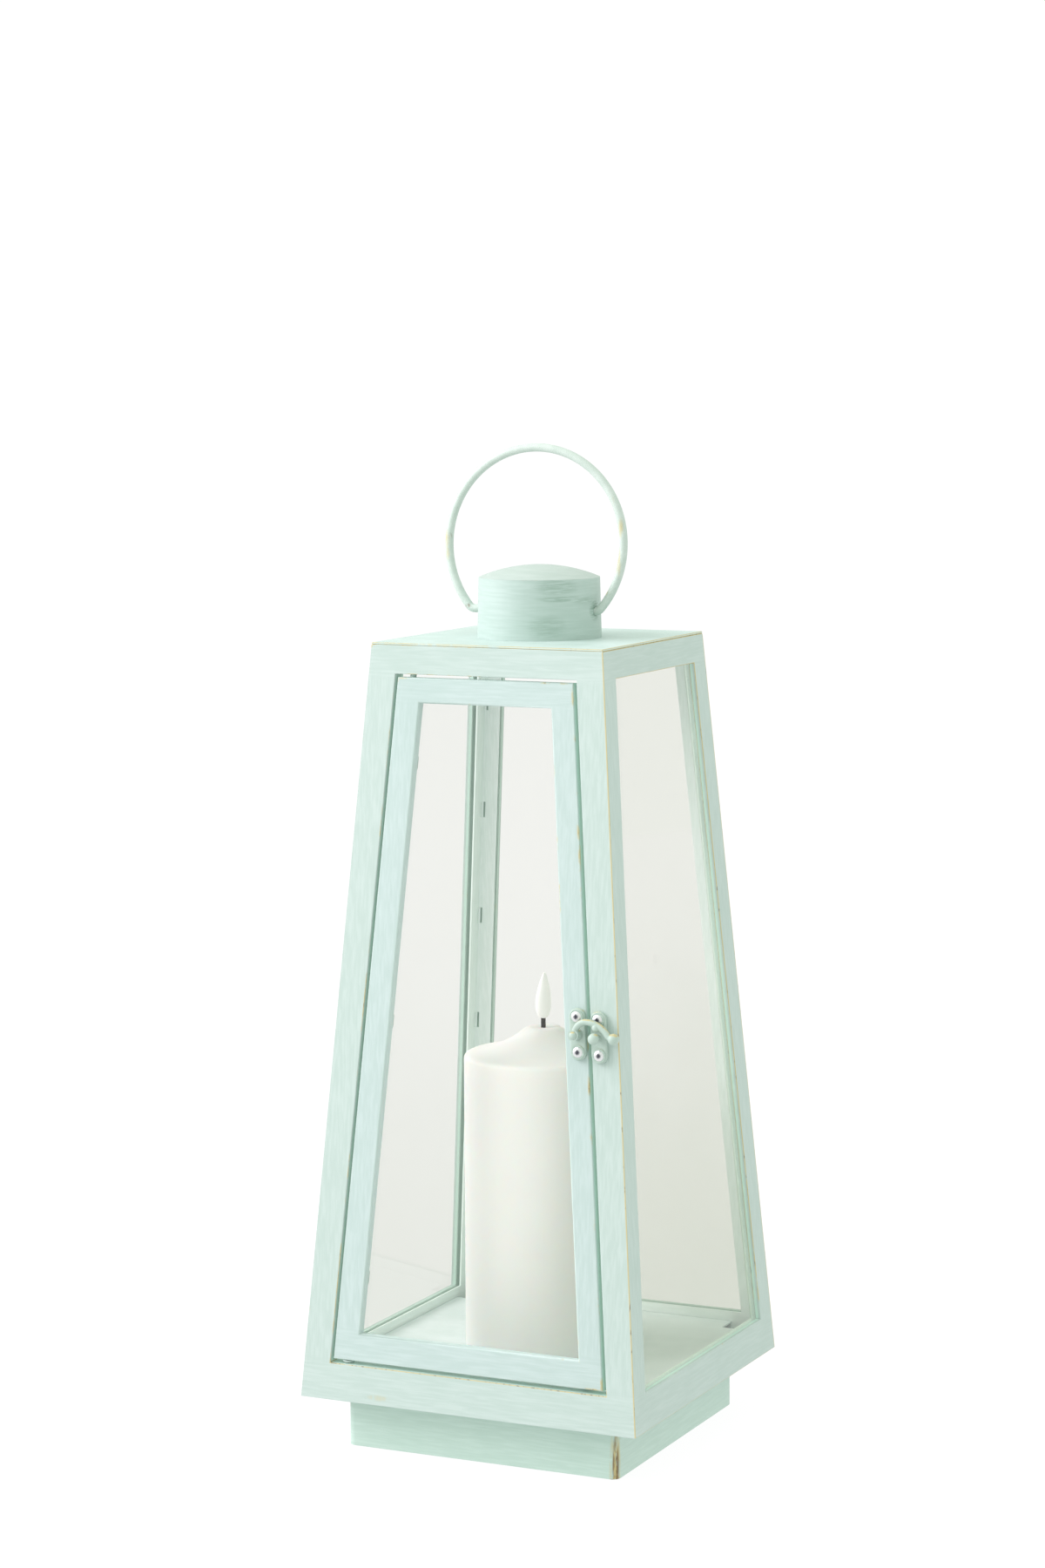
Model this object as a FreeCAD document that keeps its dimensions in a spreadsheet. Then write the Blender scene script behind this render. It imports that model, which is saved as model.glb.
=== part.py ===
import FreeCAD, Part
import math
import os

import Sketcher

# Candle lantern: a four-sided tapering sheet-metal body with a hinged glass door, a short
# round chimney with a swinging ring handle, and a battery pillar candle standing inside.
# Origin: centre of the plinth's underside. +Z up, the door faces -Y, +X is the latch side.

doc = FreeCAD.newDocument("candle_lantern")

# ---------------------------------------------------------------- driving dimensions, in mm
SIZES = (
    # body
    ("plinth_width", 143.0),
    ("plinth_height", 26.5),
    ("plinth_corner", 4.0),
    ("plinth_hem", 8.0),
    ("body_base", 176.0),
    ("body_crown", 120.0),
    ("body_height", 363.5),
    ("sheet", 1.0),
    ("stile", 14.0),
    ("bottom_rail", 18.0),
    ("top_rail", 14.6),
    ("window_return", 3.0),
    ("door_return", 9.0),
    ("glass", 2.0),
    ("glass_lap", 4.0),
    ("glass_corner_gap", 6.0),
    ("retainer", 0.8),
    ("slot_length", 8.0),
    ("slot_width", 1.2),
    ("slot_inset", 7.0),
    ("slot_pitch", 55.0),
    ("floor_height", 39.7),
    ("floor_gap", 6.3),
    ("floor_notch", 13.0),
    ("top_lip", 8.0),
    # chimney
    ("flue_hole", 26.0),
    ("chimney_foot", 30.0),
    ("chimney_crown", 29.3),
    ("chimney_height", 28.9),
    ("dome_rise", 6.0),
    ("cap_skirt", 4.0),
    ("cap_lap", 0.3),
    ("cap_play", 0.1),
    # ring handle
    ("ring_radius", 46.3),
    ("ring_wire", 4.0),
    ("ring_centre", 31.7),
    ("ring_offset", 2.6),
    ("ring_bend", 4.0),
    ("ring_reach", 24.0),
    ("ring_lean", 2.75),
    ("pivot_height", 12.9),
    ("pivot_play", 0.1),
    # door
    ("door_recess", 0.5),
    ("door_side_gap", 1.6),
    ("door_shift", 0.5),
    ("door_low", 20.0),
    ("door_high", 348.6),
    ("door_depth", 7.0),
    ("door_stile", 12.3),
    ("door_bottom_rail", 13.3),
    ("door_top_rail", 12.2),
    ("door_window_return", 4.5),
    ("door_glass_lap", 4.6),
    ("tab_width", 6.0),
    ("tab_sheet", 0.6),
    ("hinge_inset", 6.2),
    ("stop_x", 56.5),
    ("stop_width", 5.0),
    ("stop_height", 4.0),
    ("stop_sheet", 0.85),
    ("pin_diameter", 3.0),
    ("pin_play", 0.08),
    ("pin_seat", 8.0),
    ("pin_reach", 5.0),
    ("pin_collar", 6.0),
    ("collar_height", 0.7),
    ("collar_gap", 0.25),
    # latch
    ("latch_x", 53.4),
    ("latch_height", 185.75),
    ("catch_x", 64.4),
    ("catch_height", 184.95),
    ("latch_length", 24.4),
    ("latch_width", 8.0),
    ("latch_plate", 2.2),
    ("latch_edge", 0.8),
    ("boss_rise", 0.4),
    ("boss_radius", 3.3),
    ("screw_spacing", 16.6),
    ("screw_head", 4.9),
    ("screw_rise", 0.7),
    ("screw_shank", 2.2),
    ("screw_length", 5.0),
    ("cross_length", 2.4),
    ("cross_width", 0.6),
    ("cross_depth", 0.5),
    ("hook_height", 5.2),
    ("hook_wire", 3.0),
    ("hub_radius", 2.7),
    ("rivet_shank", 2.0),
    ("rivet_play", 0.05),
    ("rivet_head", 3.6),
    ("rivet_crown", 1.1),
    ("rivet_tail", 0.8),
    ("head_gap", 0.2),
    ("stud_shank", 2.6),
    ("stud_ball", 5.4),
    ("stud_height", 7.7),
    ("root_x", 0.4),
    ("root_y", 2.0),
    ("crest_x", 6.1),
    ("crest_y", 6.5),
    ("dip_x", 16.8),
    ("dip_y", 1.0),
    ("curl_radius", 3.2),
    ("curl_turn", 60.0),
    ("thumb_x", 20.3),
    ("thumb_y", -0.5),
    ("thumb_lift", 0.7),
    ("thumb_radius", 2.7),
    ("lobe_radius", 2.0),
    ("knee_radius", 1.65),
    ("lobe_gap", 0.3),
    # pillar candle
    ("candle_x", 1.0),
    ("candle_radius", 39.0),
    ("shoulder_height", 146.3),
    ("mound_rise", 13.4),
    ("bore_radius", 33.0),
    ("bore_depth", 120.0),
    ("wick_radius", 1.2),
    ("wick_hole", 1.3),
    ("core_gap", 0.2),
    ("core_wall", 1.6),
    ("core_lift", 0.8),
    ("core_height", 100.0),
    ("cover_sheet", 2.0),
    ("cover_play", 0.1),
    ("cell_radius", 7.1),
    ("cell_length", 50.0),
    ("cell_offset", 9.0),
    ("cell_floor", 9.0),
    ("button_radius", 2.7),
    ("button_height", 1.2),
    ("contact_radius", 4.5),
    ("contact_sheet", 0.5),
    ("spring_foot", 5.0),
    ("spring_tip", 2.6),
    ("bridge_margin", 6.0),
    ("tray_radius", 7.4),
    ("tray_wall", 1.2),
    ("tray_lift", 12.0),
    ("tray_deck", 61.0),
    ("board_length", 30.0),
    ("board_width", 18.0),
    ("board_sheet", 1.6),
    ("board_height", 90.0),
    ("post_radius", 1.8),
    ("post_inset", 3.0),
    ("post_screw", 0.9),
    ("wire_hole", 3.0),
    ("wire_hole_y", 20.0),
    ("wire_bore", 0.5),
    ("bulb_base", 163.8),
    ("bulb_wall", 0.8),
    ("led_radius", 1.2),
    ("led_length", 3.5),
    ("switch_travel", 3.0),
    ("switch_width", 3.8),
    ("switch_length", 4.0),
    ("switch_play", 0.3),
    ("switch_flange", 1.0),
    ("flange_margin", 1.5),
    ("switch_y", 20.0),
)

sheet = doc.addObject("Spreadsheet::Sheet", "Sizes")
for row, (alias, value) in enumerate(SIZES, start=1):
    sheet.set(f"A{row}", alias)
    sheet.set(f"B{row}", str(value))
    sheet.setAlias(f"B{row}", alias)
doc.recompute()

size = dict(SIZES)

# Values that follow from the sheet, for placements.
TAPER = (size["body_base"] - size["body_crown"]) / 2
FACE_LENGTH = math.hypot(size["body_height"], TAPER)
FACE_TILT = math.degrees(math.atan2(TAPER, size["body_height"]))
STILE_SLANT = TAPER / FACE_LENGTH
BODY_TOP = size["plinth_height"] + size["body_height"]

SLOTS_PER_UPRIGHT = 6
DOOR_TAB_HEIGHTS = (60.0, 184.0, 308.0)
THROUGH = 5  # how far a cutting tool stands clear of the sheet on each side

X_AXIS = FreeCAD.Vector(1, 0, 0)
Y_AXIS = FreeCAD.Vector(0, 1, 0)
Z_AXIS = FreeCAD.Vector(0, 0, 1)

# Expressions for the heights and half-widths of the tapering body.
TOP = "(Sizes.plinth_height + Sizes.body_height)"
OPENING_LOW = "(Sizes.plinth_height + Sizes.bottom_rail)"
OPENING_HIGH = f"({TOP} - Sizes.top_rail)"
SLOPE = "((Sizes.body_base - Sizes.body_crown) / (2 * Sizes.body_height))"
SLANT = ("((Sizes.body_base - Sizes.body_crown) / 2"
         " / sqrt(Sizes.body_height^2 + ((Sizes.body_base - Sizes.body_crown) / 2)^2))")


def half_width(height, inset="0"):
    """Half of the body's outer width at a height, less an inset."""
    return f"(Sizes.body_base / 2 - ({height} - Sizes.plinth_height) * {SLOPE} - ({inset}))"


# ---------------------------------------------------------------- building blocks
def bind(obj, **expressions):
    """Bind properties to expressions on the sheet."""
    for name, expression in expressions.items():
        obj.setExpression(name.replace("__", "."), str(expression))
    return obj


def placed(position=(0, 0, 0), axis=Z_AXIS, angle=0):
    return FreeCAD.Placement(FreeCAD.Vector(*position), FreeCAD.Rotation(axis, angle))


def box(name, length, width, height, corner):
    """Box from its low corner, given as expressions."""
    piece = doc.addObject("Part::Box", name)
    return bind(piece, Length=length, Width=width, Height=height,
                Placement__Base__x=corner[0], Placement__Base__y=corner[1],
                Placement__Base__z=corner[2])


def cylinder(name, radius, height, x="0", y="0", z="0"):
    """Upright cylinder standing at x, y, z."""
    piece = doc.addObject("Part::Cylinder", name)
    return bind(piece, Radius=radius, Height=height, Placement__Base__x=x,
                Placement__Base__y=y, Placement__Base__z=z)


def turned_cylinder(name, radius, height, frame):
    """Cylinder along the Z axis of a frame of its own."""
    piece = doc.addObject("Part::Cylinder", name)
    bind(piece, Radius=radius, Height=height)
    piece.Placement = frame
    return piece


def sphere(name, radius, x="0", y="0", z="0"):
    piece = doc.addObject("Part::Sphere", name)
    return bind(piece, Radius=radius, Placement__Base__x=x, Placement__Base__y=y,
                Placement__Base__z=z)


def cone(name, low_radius, high_radius, height, z="0"):
    piece = doc.addObject("Part::Cone", name)
    return bind(piece, Radius1=low_radius, Radius2=high_radius, Height=height,
                Placement__Base__z=z)


def cut(name, base, tool):
    piece = doc.addObject("Part::Cut", name)
    piece.Base = base
    piece.Tool = tool
    return piece


def fuse(name, pieces):
    piece = doc.addObject("Part::MultiFuse", name)
    piece.Shapes = pieces
    piece.Refine = True
    return piece


def common(name, pieces):
    piece = doc.addObject("Part::MultiCommon", name)
    piece.Shapes = pieces
    return piece


def tapered_block(name, low, high, x_low, x_high, y_low, y_high):
    """Block between two heights; each of x and y is a (from, to) pair at each height."""
    piece = doc.addObject("Part::Wedge", name)
    piece.Placement = placed(axis=X_AXIS, angle=90)
    return bind(piece, Ymin=low, Ymax=high,
                Xmin=x_low[0], Xmax=x_low[1], X2min=x_high[0], X2max=x_high[1],
                Zmin=f"-({y_low[1]})", Zmax=f"-({y_low[0]})",
                Z2min=f"-({y_high[1]})", Z2max=f"-({y_high[0]})")


def frustum(name, inset, low, high):
    """The body's square taper, drawn in by an inset, between two heights."""
    bottom = half_width(low, inset)
    crown = half_width(high, inset)
    return tapered_block(name, low, high, (f"-{bottom}", bottom), (f"-{crown}", crown),
                         (f"-{bottom}", bottom), (f"-{crown}", crown))


def mitre(name):
    """Three-sided prism from the centre to the front, which mitres one side at both corners."""
    piece = doc.addObject("Part::Wedge", name)
    reach = "Sizes.body_base"
    return bind(piece, Ymin=f"-{reach}", Ymax="0", Xmin=f"-{reach}", Xmax=reach, X2min="0",
                X2max="0", Zmin="0", Zmax=TOP, Z2min="0", Z2max=TOP)


def side_shell(name, outer, inner, low, high):
    """The front side of the hopper between two insets, mitred at its corners."""
    skin = cut(f"{name}_skin", frustum(f"{name}_outside", outer, low, high),
               frustum(f"{name}_inside", inner, low, high))
    return common(name, [skin, mitre(f"{name}_mitre")])


def window_block(name, spread, front, back):
    """Block through the front window, larger than the opening by a spread on every side."""
    low = f"({OPENING_LOW} - ({spread}))"
    high = f"({OPENING_HIGH} + ({spread}))"
    bottom = half_width(low, f"Sizes.stile - ({spread})")
    crown = half_width(high, f"Sizes.stile - ({spread})")
    return tapered_block(name, low, high, (f"-{bottom}", bottom), (f"-{crown}", crown),
                         (f"-({half_width(low, front)})", f"-({half_width(low, back)})"),
                         (f"-({half_width(high, front)})", f"-({half_width(high, back)})"))


def finished(piece, label):
    """Give a finished sub-part the name of its node."""
    piece.Label = label
    nodes.append(piece)
    return piece


nodes = []

# Frame of the front face: X to the right, Y into the body, Z up the slope.
FACE = placed((0, -size["body_base"] / 2, size["plinth_height"]), X_AXIS, -FACE_TILT)


def on_face(x, slope_height, outward=0.0):
    """Frame on the front face: X to the right, Y up the slope, Z outward."""
    return FACE.multiply(placed((x, -outward, slope_height), X_AXIS, 90))


def hinge_frame(slope_height):
    """Frame on the door's slanted hinge line: Z up along the pins."""
    inset = size["stile"] + size["door_side_gap"] + size["hinge_inset"]
    x = -(size["body_base"] / 2 - inset) + STILE_SLANT * slope_height
    depth = size["door_recess"] + size["door_depth"] / 2
    lean = math.degrees(math.atan(STILE_SLANT))
    return FACE.multiply(placed((x, depth, slope_height), Y_AXIS, lean))


# ---------------------------------------------------------------- plinth and floor
def plinth_ring(name, low, high, inset=None):
    """Rounded-corner square block of the plinth's outline, drawn in by a named size."""
    drawn_in = f"Sizes.{inset}" if inset else "0"
    width = f"(Sizes.plinth_width - 2 * {drawn_in})"
    block = box(f"{name}_block", width, width, f"({high}) - ({low})",
                (f"-{width} / 2", f"-{width} / 2", low))
    doc.recompute()
    rounded = doc.addObject("Part::Fillet", name)
    rounded.Base = block
    radius = max(size["plinth_corner"] - size.get(inset, 0.0), size["sheet"])
    upright = [index for index, edge in enumerate(block.Shape.Edges, start=1)
               if abs(edge.tangentAt(edge.FirstParameter).z) > 0.9]
    rounded.Edges = [(index, radius, radius) for index in upright]
    return rounded


def make_plinth():
    outer = plinth_ring("plinth_outer", "0", "Sizes.plinth_height")
    hollow = plinth_ring("plinth_hollow", "Sizes.sheet", "Sizes.plinth_height - Sizes.sheet",
                         inset="sheet")
    mouth = plinth_ring("plinth_mouth", "0", "Sizes.plinth_height", inset="plinth_hem")
    finished(cut("plinth_walls", cut("plinth_tray", outer, hollow), mouth), "plinth")


def make_floor():
    low = "Sizes.plinth_height"
    bottom = frustum("bottom_sheet", "Sizes.sheet", low, f"({low} + Sizes.sheet)")
    finished(bottom, "bottom_plate")

    floor_half = half_width("Sizes.floor_height", "Sizes.floor_gap")
    foot = "Sizes.plinth_height + Sizes.sheet"
    tray = box("floor_tray", f"2 * {floor_half}", f"2 * {floor_half}",
               f"Sizes.floor_height - ({foot})", (f"-{floor_half}", f"-{floor_half}", foot))
    inner = f"({floor_half} - Sizes.sheet)"
    hollow = box("floor_hollow", f"2 * {inner}", f"2 * {inner}",
                 f"Sizes.floor_height - Sizes.sheet - ({foot})",
                 (f"-{inner}", f"-{inner}", foot))
    plate = cut("floor_pan", tray, hollow)
    notches = []
    for index, (side_x, side_y) in enumerate(((-1, -1), (1, -1), (1, 1), (-1, 1))):
        corner = [f"-{floor_half}" if side < 0 else f"({floor_half} - Sizes.floor_notch)"
                  for side in (side_x, side_y)]
        notches.append(box(f"floor_notch_{index}", "Sizes.floor_notch", "Sizes.floor_notch",
                           "Sizes.floor_height", (corner[0], corner[1], foot)))
    finished(cut("floor_sheet", plate, fuse("floor_notches", notches)), "floor_plate")


# ---------------------------------------------------------------- sides, glass and retainers
SIDES = (("right", 90), ("back", 180), ("left", 270))
SHEET_TOP = f"({TOP} - Sizes.sheet)"


def window_return(name, depth):
    """Edge of the opening folded inward, one sheet thick."""
    ring = cut(f"{name}_ring", window_block(f"{name}_around", "Sizes.sheet", "Sizes.sheet", depth),
               window_block(f"{name}_through", "0", "0", f"{depth} + {THROUGH}"))
    return ring


def make_panel(name, depth):
    """Front-facing sheet with its opening and the folded edge around it."""
    skin = side_shell(f"{name}_side", "0", "Sizes.sheet", "Sizes.plinth_height", SHEET_TOP)
    opening = window_block(f"{name}_opening", "0", f"-{THROUGH}", THROUGH)
    pierced = cut(f"{name}_pierced", skin, opening)
    return fuse(f"{name}_sheet", [pierced, window_return(name, depth)])


def make_pane(name):
    """Pane behind the folded edge, lapping the opening on every side."""
    low = f"({OPENING_LOW} - Sizes.glass_lap)"
    high = f"({OPENING_HIGH} + Sizes.glass_lap)"
    front = "Sizes.window_return"
    back = "Sizes.window_return + Sizes.glass"
    bottom = half_width(low, "Sizes.glass_corner_gap")
    crown = half_width(high, "Sizes.glass_corner_gap")
    return tapered_block(name, low, high, (f"-{bottom}", bottom), (f"-{crown}", crown),
                         (f"-({half_width(low, front)})", f"-({half_width(low, back)})"),
                         (f"-({half_width(high, front)})", f"-({half_width(high, back)})"))


def retainer_slots(name):
    """Slots along both uprights of a retainer, where its solder tabs were punched."""
    behind = f"Sizes.window_return + Sizes.glass + Sizes.retainer + {THROUGH}"
    slots = []
    for side in (-1, 1):
        for step in range(SLOTS_PER_UPRIGHT):
            low = f"({OPENING_LOW} + Sizes.slot_pitch * {step + 0.5})"
            high = f"({low} + Sizes.slot_length)"
            ends = []
            for height in (low, high):
                near = half_width(height, "Sizes.slot_inset + Sizes.slot_width / 2")
                far = half_width(height, "Sizes.slot_inset - Sizes.slot_width / 2")
                ends.append((near, far) if side > 0 else (f"-{far}", f"-{near}"))
            depth = [(f"-{half_width(height)}", f"-{half_width(height, behind)}")
                     for height in (low, high)]
            slots.append(tapered_block(f"{name}_{side + 1}_{step}", low, high, ends[0], ends[1],
                                       depth[0], depth[1]))
    return fuse(name, slots)


def make_retainer(name):
    """Inner sheet frame that holds the pane against the folded edge."""
    front = "Sizes.window_return + Sizes.glass"
    back = "Sizes.window_return + Sizes.glass + Sizes.retainer"
    shell = side_shell(f"{name}_side", front, back, "(Sizes.plinth_height + Sizes.sheet)",
                       SHEET_TOP)
    opening = window_block(f"{name}_opening", "0", "0", f"{back} + {THROUGH}")
    frame = cut(f"{name}_frame", shell, opening)
    return cut(f"{name}_sheet", frame, retainer_slots(f"{name}_slots"))


def make_sides():
    for side, turn in SIDES:
        for label, piece in (
                (f"{side}_panel", make_panel(f"{side}_panel", "Sizes.window_return")),
                (f"{side}_glass", make_pane(f"{side}_pane")),
                (f"{side}_retainer", make_retainer(f"{side}_retainer"))):
            piece.Placement = placed(angle=turn).multiply(piece.Placement)
            finished(piece, label)


def make_front():
    """Front frame around the door, with its pin holes and the catch's screw holes."""
    frame = make_panel("front_panel", "Sizes.door_return")
    pin_hole = "Sizes.pin_diameter / 2 + Sizes.pin_play"
    holes = [
        turned_cylinder("lower_pin_hole", pin_hole, "2 * Sizes.pin_reach",
                        hinge_frame(size["door_low"] - 2 * size["pin_reach"])),
        turned_cylinder("upper_pin_hole", pin_hole, "2 * Sizes.pin_reach",
                        hinge_frame(size["door_high"])),
    ]
    for step, frame_at in enumerate(screw_frames("catch")):
        through = frame_at.multiply(placed((0, 0, -size["screw_length"])))
        holes.append(turned_cylinder(f"catch_hole_{step}", "Sizes.screw_shank / 2",
                                     "Sizes.screw_length + Sizes.sheet", through))
    stud_tail = plate_frame("catch").multiply(placed((0, 0, -2 * size["sheet"])))
    holes.append(turned_cylinder("stud_hole", "Sizes.stud_shank / 2", "3 * Sizes.sheet",
                                 stud_tail))
    finished(cut("front_sheet", frame, fuse("front_holes", holes)), "front_frame")

    # A lug on the rear edge of the sill, which the closed door rests against.
    sill_rear = f"(-{half_width(OPENING_LOW, 'Sizes.door_return')})"
    stop = box("door_stop_lug", "Sizes.stop_width", "Sizes.stop_sheet", "Sizes.stop_height",
               ("Sizes.stop_x", f"{sill_rear} - Sizes.stop_sheet", OPENING_LOW))
    finished(stop, "door_stop")


# ---------------------------------------------------------------- top plate and chimney
def make_top():
    deck = frustum("top_deck", "0", SHEET_TOP, TOP)
    lip = cut("top_lip_ring",
              frustum("top_lip_outside", "Sizes.sheet", f"({SHEET_TOP} - Sizes.top_lip)",
                      SHEET_TOP),
              frustum("top_lip_inside", "2 * Sizes.sheet", f"({SHEET_TOP} - Sizes.top_lip)",
                      SHEET_TOP))
    flue = cylinder("flue_hole_cut", "Sizes.flue_hole", 2 * THROUGH, z=f"{TOP} - {THROUGH}")
    finished(cut("top_sheet", fuse("top_parts", [deck, lip]), flue), "top_plate")


def make_chimney():
    outer = cone("chimney_outside", "Sizes.chimney_foot", "Sizes.chimney_crown",
                 "Sizes.chimney_height", TOP)
    bore = cone("chimney_bore", "Sizes.chimney_foot - Sizes.sheet",
                "Sizes.chimney_crown - Sizes.sheet", "Sizes.chimney_height", TOP)
    start = (-2 * size["chimney_foot"], 0, BODY_TOP + size["pivot_height"])
    hole = turned_cylinder("handle_hole", "Sizes.ring_wire / 2 + Sizes.pivot_play",
                           "4 * Sizes.chimney_foot", placed(start, Y_AXIS, 90))
    finished(cut("chimney_wall", cut("chimney_tube", outer, bore), hole), "chimney")

    # The cap: a shallow dome of sheet with a skirt that plugs into the chimney.
    crown = f"{TOP} + Sizes.chimney_height"
    dome_radius = "((Sizes.chimney_crown^2 + Sizes.dome_rise^2) / (2 * Sizes.dome_rise))"
    centre = f"{crown} + Sizes.dome_rise - {dome_radius}"
    bowl = cut("cap_bowl", sphere("cap_outside", dome_radius, z=centre),
               sphere("cap_inside", f"{dome_radius} - Sizes.sheet", z=centre))
    disc = cylinder("cap_disc", "Sizes.chimney_crown", "2 * Sizes.dome_rise", z=crown)
    plug_radius = "(Sizes.chimney_crown - Sizes.sheet - Sizes.cap_play)"
    skirt_low = f"{crown} - Sizes.cap_skirt"
    skirt = cut("cap_skirt",
                cylinder("cap_plug", plug_radius, "Sizes.cap_skirt + Sizes.cap_lap",
                         z=skirt_low),
                cylinder("cap_plug_bore", f"{plug_radius} - Sizes.sheet",
                         "Sizes.cap_skirt + Sizes.dome_rise", z=skirt_low))
    finished(fuse("cap_sheet", [common("cap_shell", [bowl, disc]), skirt]), "chimney_cap")


# ---------------------------------------------------------------- ring handle
def make_handle():
    """Round wire bent to a ring, its two ends turned in along the pivot line."""
    pivot = FreeCAD.Vector(0, 0, BODY_TOP + size["pivot_height"])
    radius = size["ring_radius"]
    bend = size["ring_bend"]
    centre = FreeCAD.Vector(-size["ring_offset"], 0, size["ring_centre"])
    # A bend circle that touches the ring from inside and the pivot line from above.
    spread = math.sqrt((radius - bend) ** 2 - (size["ring_centre"] - bend) ** 2)
    points = []
    for side in (-1, 1):
        bend_centre = FreeCAD.Vector(centre.x + side * spread, 0, bend)
        outward = (bend_centre - centre).normalize()
        touch = centre + outward * radius
        foot = FreeCAD.Vector(bend_centre.x, 0, 0)
        middle_way = (touch - bend_centre).normalize() + (foot - bend_centre).normalize()
        middle = bend_centre + middle_way.normalize() * bend
        points.append((FreeCAD.Vector(side * size["ring_reach"], 0, 0), foot, middle, touch))
    crest = centre + FreeCAD.Vector(0, 0, radius)
    left, right = points
    path = Part.Wire([
        Part.LineSegment(left[0], left[1]).toShape(),
        Part.Arc(left[1], left[2], left[3]).toShape(),
        Part.Arc(left[3], crest, right[3]).toShape(),
        Part.Arc(right[3], right[2], right[1]).toShape(),
        Part.LineSegment(right[1], right[0]).toShape(),
    ])
    section = Part.Wire(Part.Circle(left[0], X_AXIS, size["ring_wire"] / 2).toShape())
    ring = doc.addObject("Part::Feature", "ring_wire_bent")
    ring.Shape = path.makePipeShell([section], True, True)
    ring.Placement = FreeCAD.Placement(pivot, FreeCAD.Rotation(X_AXIS, -size["ring_lean"]))
    finished(ring, "handle_ring")


# ---------------------------------------------------------------- door
def door_half(height, inset="0"):
    """Half of the door's width at a height up the face, less an inset."""
    return (f"(Sizes.body_base / 2 - ({height}) * {SLANT} - Sizes.stile"
            f" - Sizes.door_side_gap - ({inset}))")


def door_block(name, low, high, inset, front, back, shift="0"):
    """Trapezoid block on the front face along the door's slanted sides, shifted to the left."""
    bottom = door_half(low, inset)
    crown = door_half(high, inset)
    depth = (f"Sizes.door_recess + ({front})", f"Sizes.door_recess + ({back})")
    block = tapered_block(name, low, high, (f"-{bottom} - {shift}", f"{bottom} - {shift}"),
                          (f"-{crown} - {shift}", f"{crown} - {shift}"), depth, depth)
    block.Placement = FACE.multiply(block.Placement)
    return block


DOOR_LOW = "Sizes.door_low"
DOOR_HIGH = "Sizes.door_high"
WINDOW_LOW = "(Sizes.door_low + Sizes.door_bottom_rail)"
WINDOW_HIGH = "(Sizes.door_high - Sizes.door_top_rail)"


def make_door():
    outer = door_block("door_outside", DOOR_LOW, DOOR_HIGH, "0", "0", "Sizes.door_depth",
                       "Sizes.door_shift")
    hollow = door_block("door_hollow", "(Sizes.door_low + Sizes.sheet)",
                        "(Sizes.door_high - Sizes.sheet)", "Sizes.sheet", "Sizes.sheet",
                        f"Sizes.door_depth + {THROUGH}", "Sizes.door_shift")
    tray = cut("door_tray", outer, hollow)
    collar = door_block("door_window_collar", f"({WINDOW_LOW} - Sizes.sheet)",
                        f"({WINDOW_HIGH} + Sizes.sheet)", "Sizes.door_stile - Sizes.sheet",
                        "Sizes.sheet / 2", "Sizes.door_window_return")
    window = door_block("door_window", WINDOW_LOW, WINDOW_HIGH, "Sizes.door_stile",
                        f"-{THROUGH}", f"Sizes.door_depth + {THROUGH}")
    frame = cut("door_pierced", fuse("door_folded", [tray, collar]), window)
    holes = []
    for step, frame_at in enumerate(screw_frames("latch")):
        through = frame_at.multiply(placed((0, 0, -size["screw_length"])))
        holes.append(turned_cylinder(f"latch_hole_{step}", "Sizes.screw_shank / 2",
                                     "Sizes.screw_length + Sizes.sheet", through))
    rivet_tail = plate_frame("latch").multiply(placed((0, 0, -2 * size["sheet"])))
    holes.append(turned_cylinder("rivet_hole", "Sizes.rivet_shank / 2", "3 * Sizes.sheet",
                                 rivet_tail))
    for name, centre in (("lower_pin_seat", size["door_low"]), ("upper_pin_seat", size["door_high"])):
        holes.append(turned_cylinder(name, "Sizes.pin_diameter / 2", "4 * Sizes.sheet",
                                     hinge_frame(centre - 2 * size["sheet"])))
    finished(cut("door_sheet", frame, fuse("door_holes", holes)), "door_frame")

    pane = door_block("door_pane", f"({WINDOW_LOW} - Sizes.door_glass_lap)",
                      f"({WINDOW_HIGH} + Sizes.door_glass_lap)",
                      "Sizes.door_stile - Sizes.door_glass_lap", "Sizes.door_window_return",
                      "Sizes.door_window_return + Sizes.glass")
    finished(pane, "door_glass")

    tabs = []
    behind = "Sizes.door_window_return + Sizes.glass"
    for step, height in enumerate(DOOR_TAB_HEIGHTS):
        low = f"{height} - Sizes.tab_width / 2"
        high = f"{height} + Sizes.tab_width / 2"
        for side in (-1, 1):
            ends = []
            for level in (low, high):
                far = door_half(level, f"Sizes.sheet + {side} * Sizes.door_shift")
                near = door_half(level, "Sizes.door_stile - Sizes.sheet")
                ends.append((near, far) if side > 0 else (f"-{far}", f"-{near}"))
            depth = (f"Sizes.door_recess + {behind}",
                     f"Sizes.door_recess + {behind} + Sizes.tab_sheet")
            tab = tapered_block(f"door_tab_{step}_{side + 1}", low, high, ends[0], ends[1],
                                depth, depth)
            tab.Placement = FACE.multiply(tab.Placement)
            tabs.append(tab)
    group = doc.addObject("Part::Compound", "door_tabs")
    group.Links = tabs
    finished(group, "door_glass_tabs")


def make_hinge_pins():
    """Pins along the slanted hinge line; the lower one has a collar that carries the door."""
    radius = "Sizes.pin_diameter / 2"
    lower = turned_cylinder("lower_pin_rod", radius, "Sizes.pin_seat + Sizes.pin_reach",
                            hinge_frame(size["door_low"] - size["pin_reach"]))
    collar = turned_cylinder("lower_pin_collar", "Sizes.pin_collar / 2", "Sizes.collar_height",
                             hinge_frame(size["door_low"] - size["collar_gap"]
                                         - size["collar_height"]))
    finished(fuse("lower_pin", [lower, collar]), "lower_hinge_pin")
    upper = turned_cylinder("upper_pin", radius, "Sizes.pin_seat + Sizes.pin_reach",
                            hinge_frame(size["door_high"] - size["pin_seat"]))
    finished(upper, "upper_hinge_pin")


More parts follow.
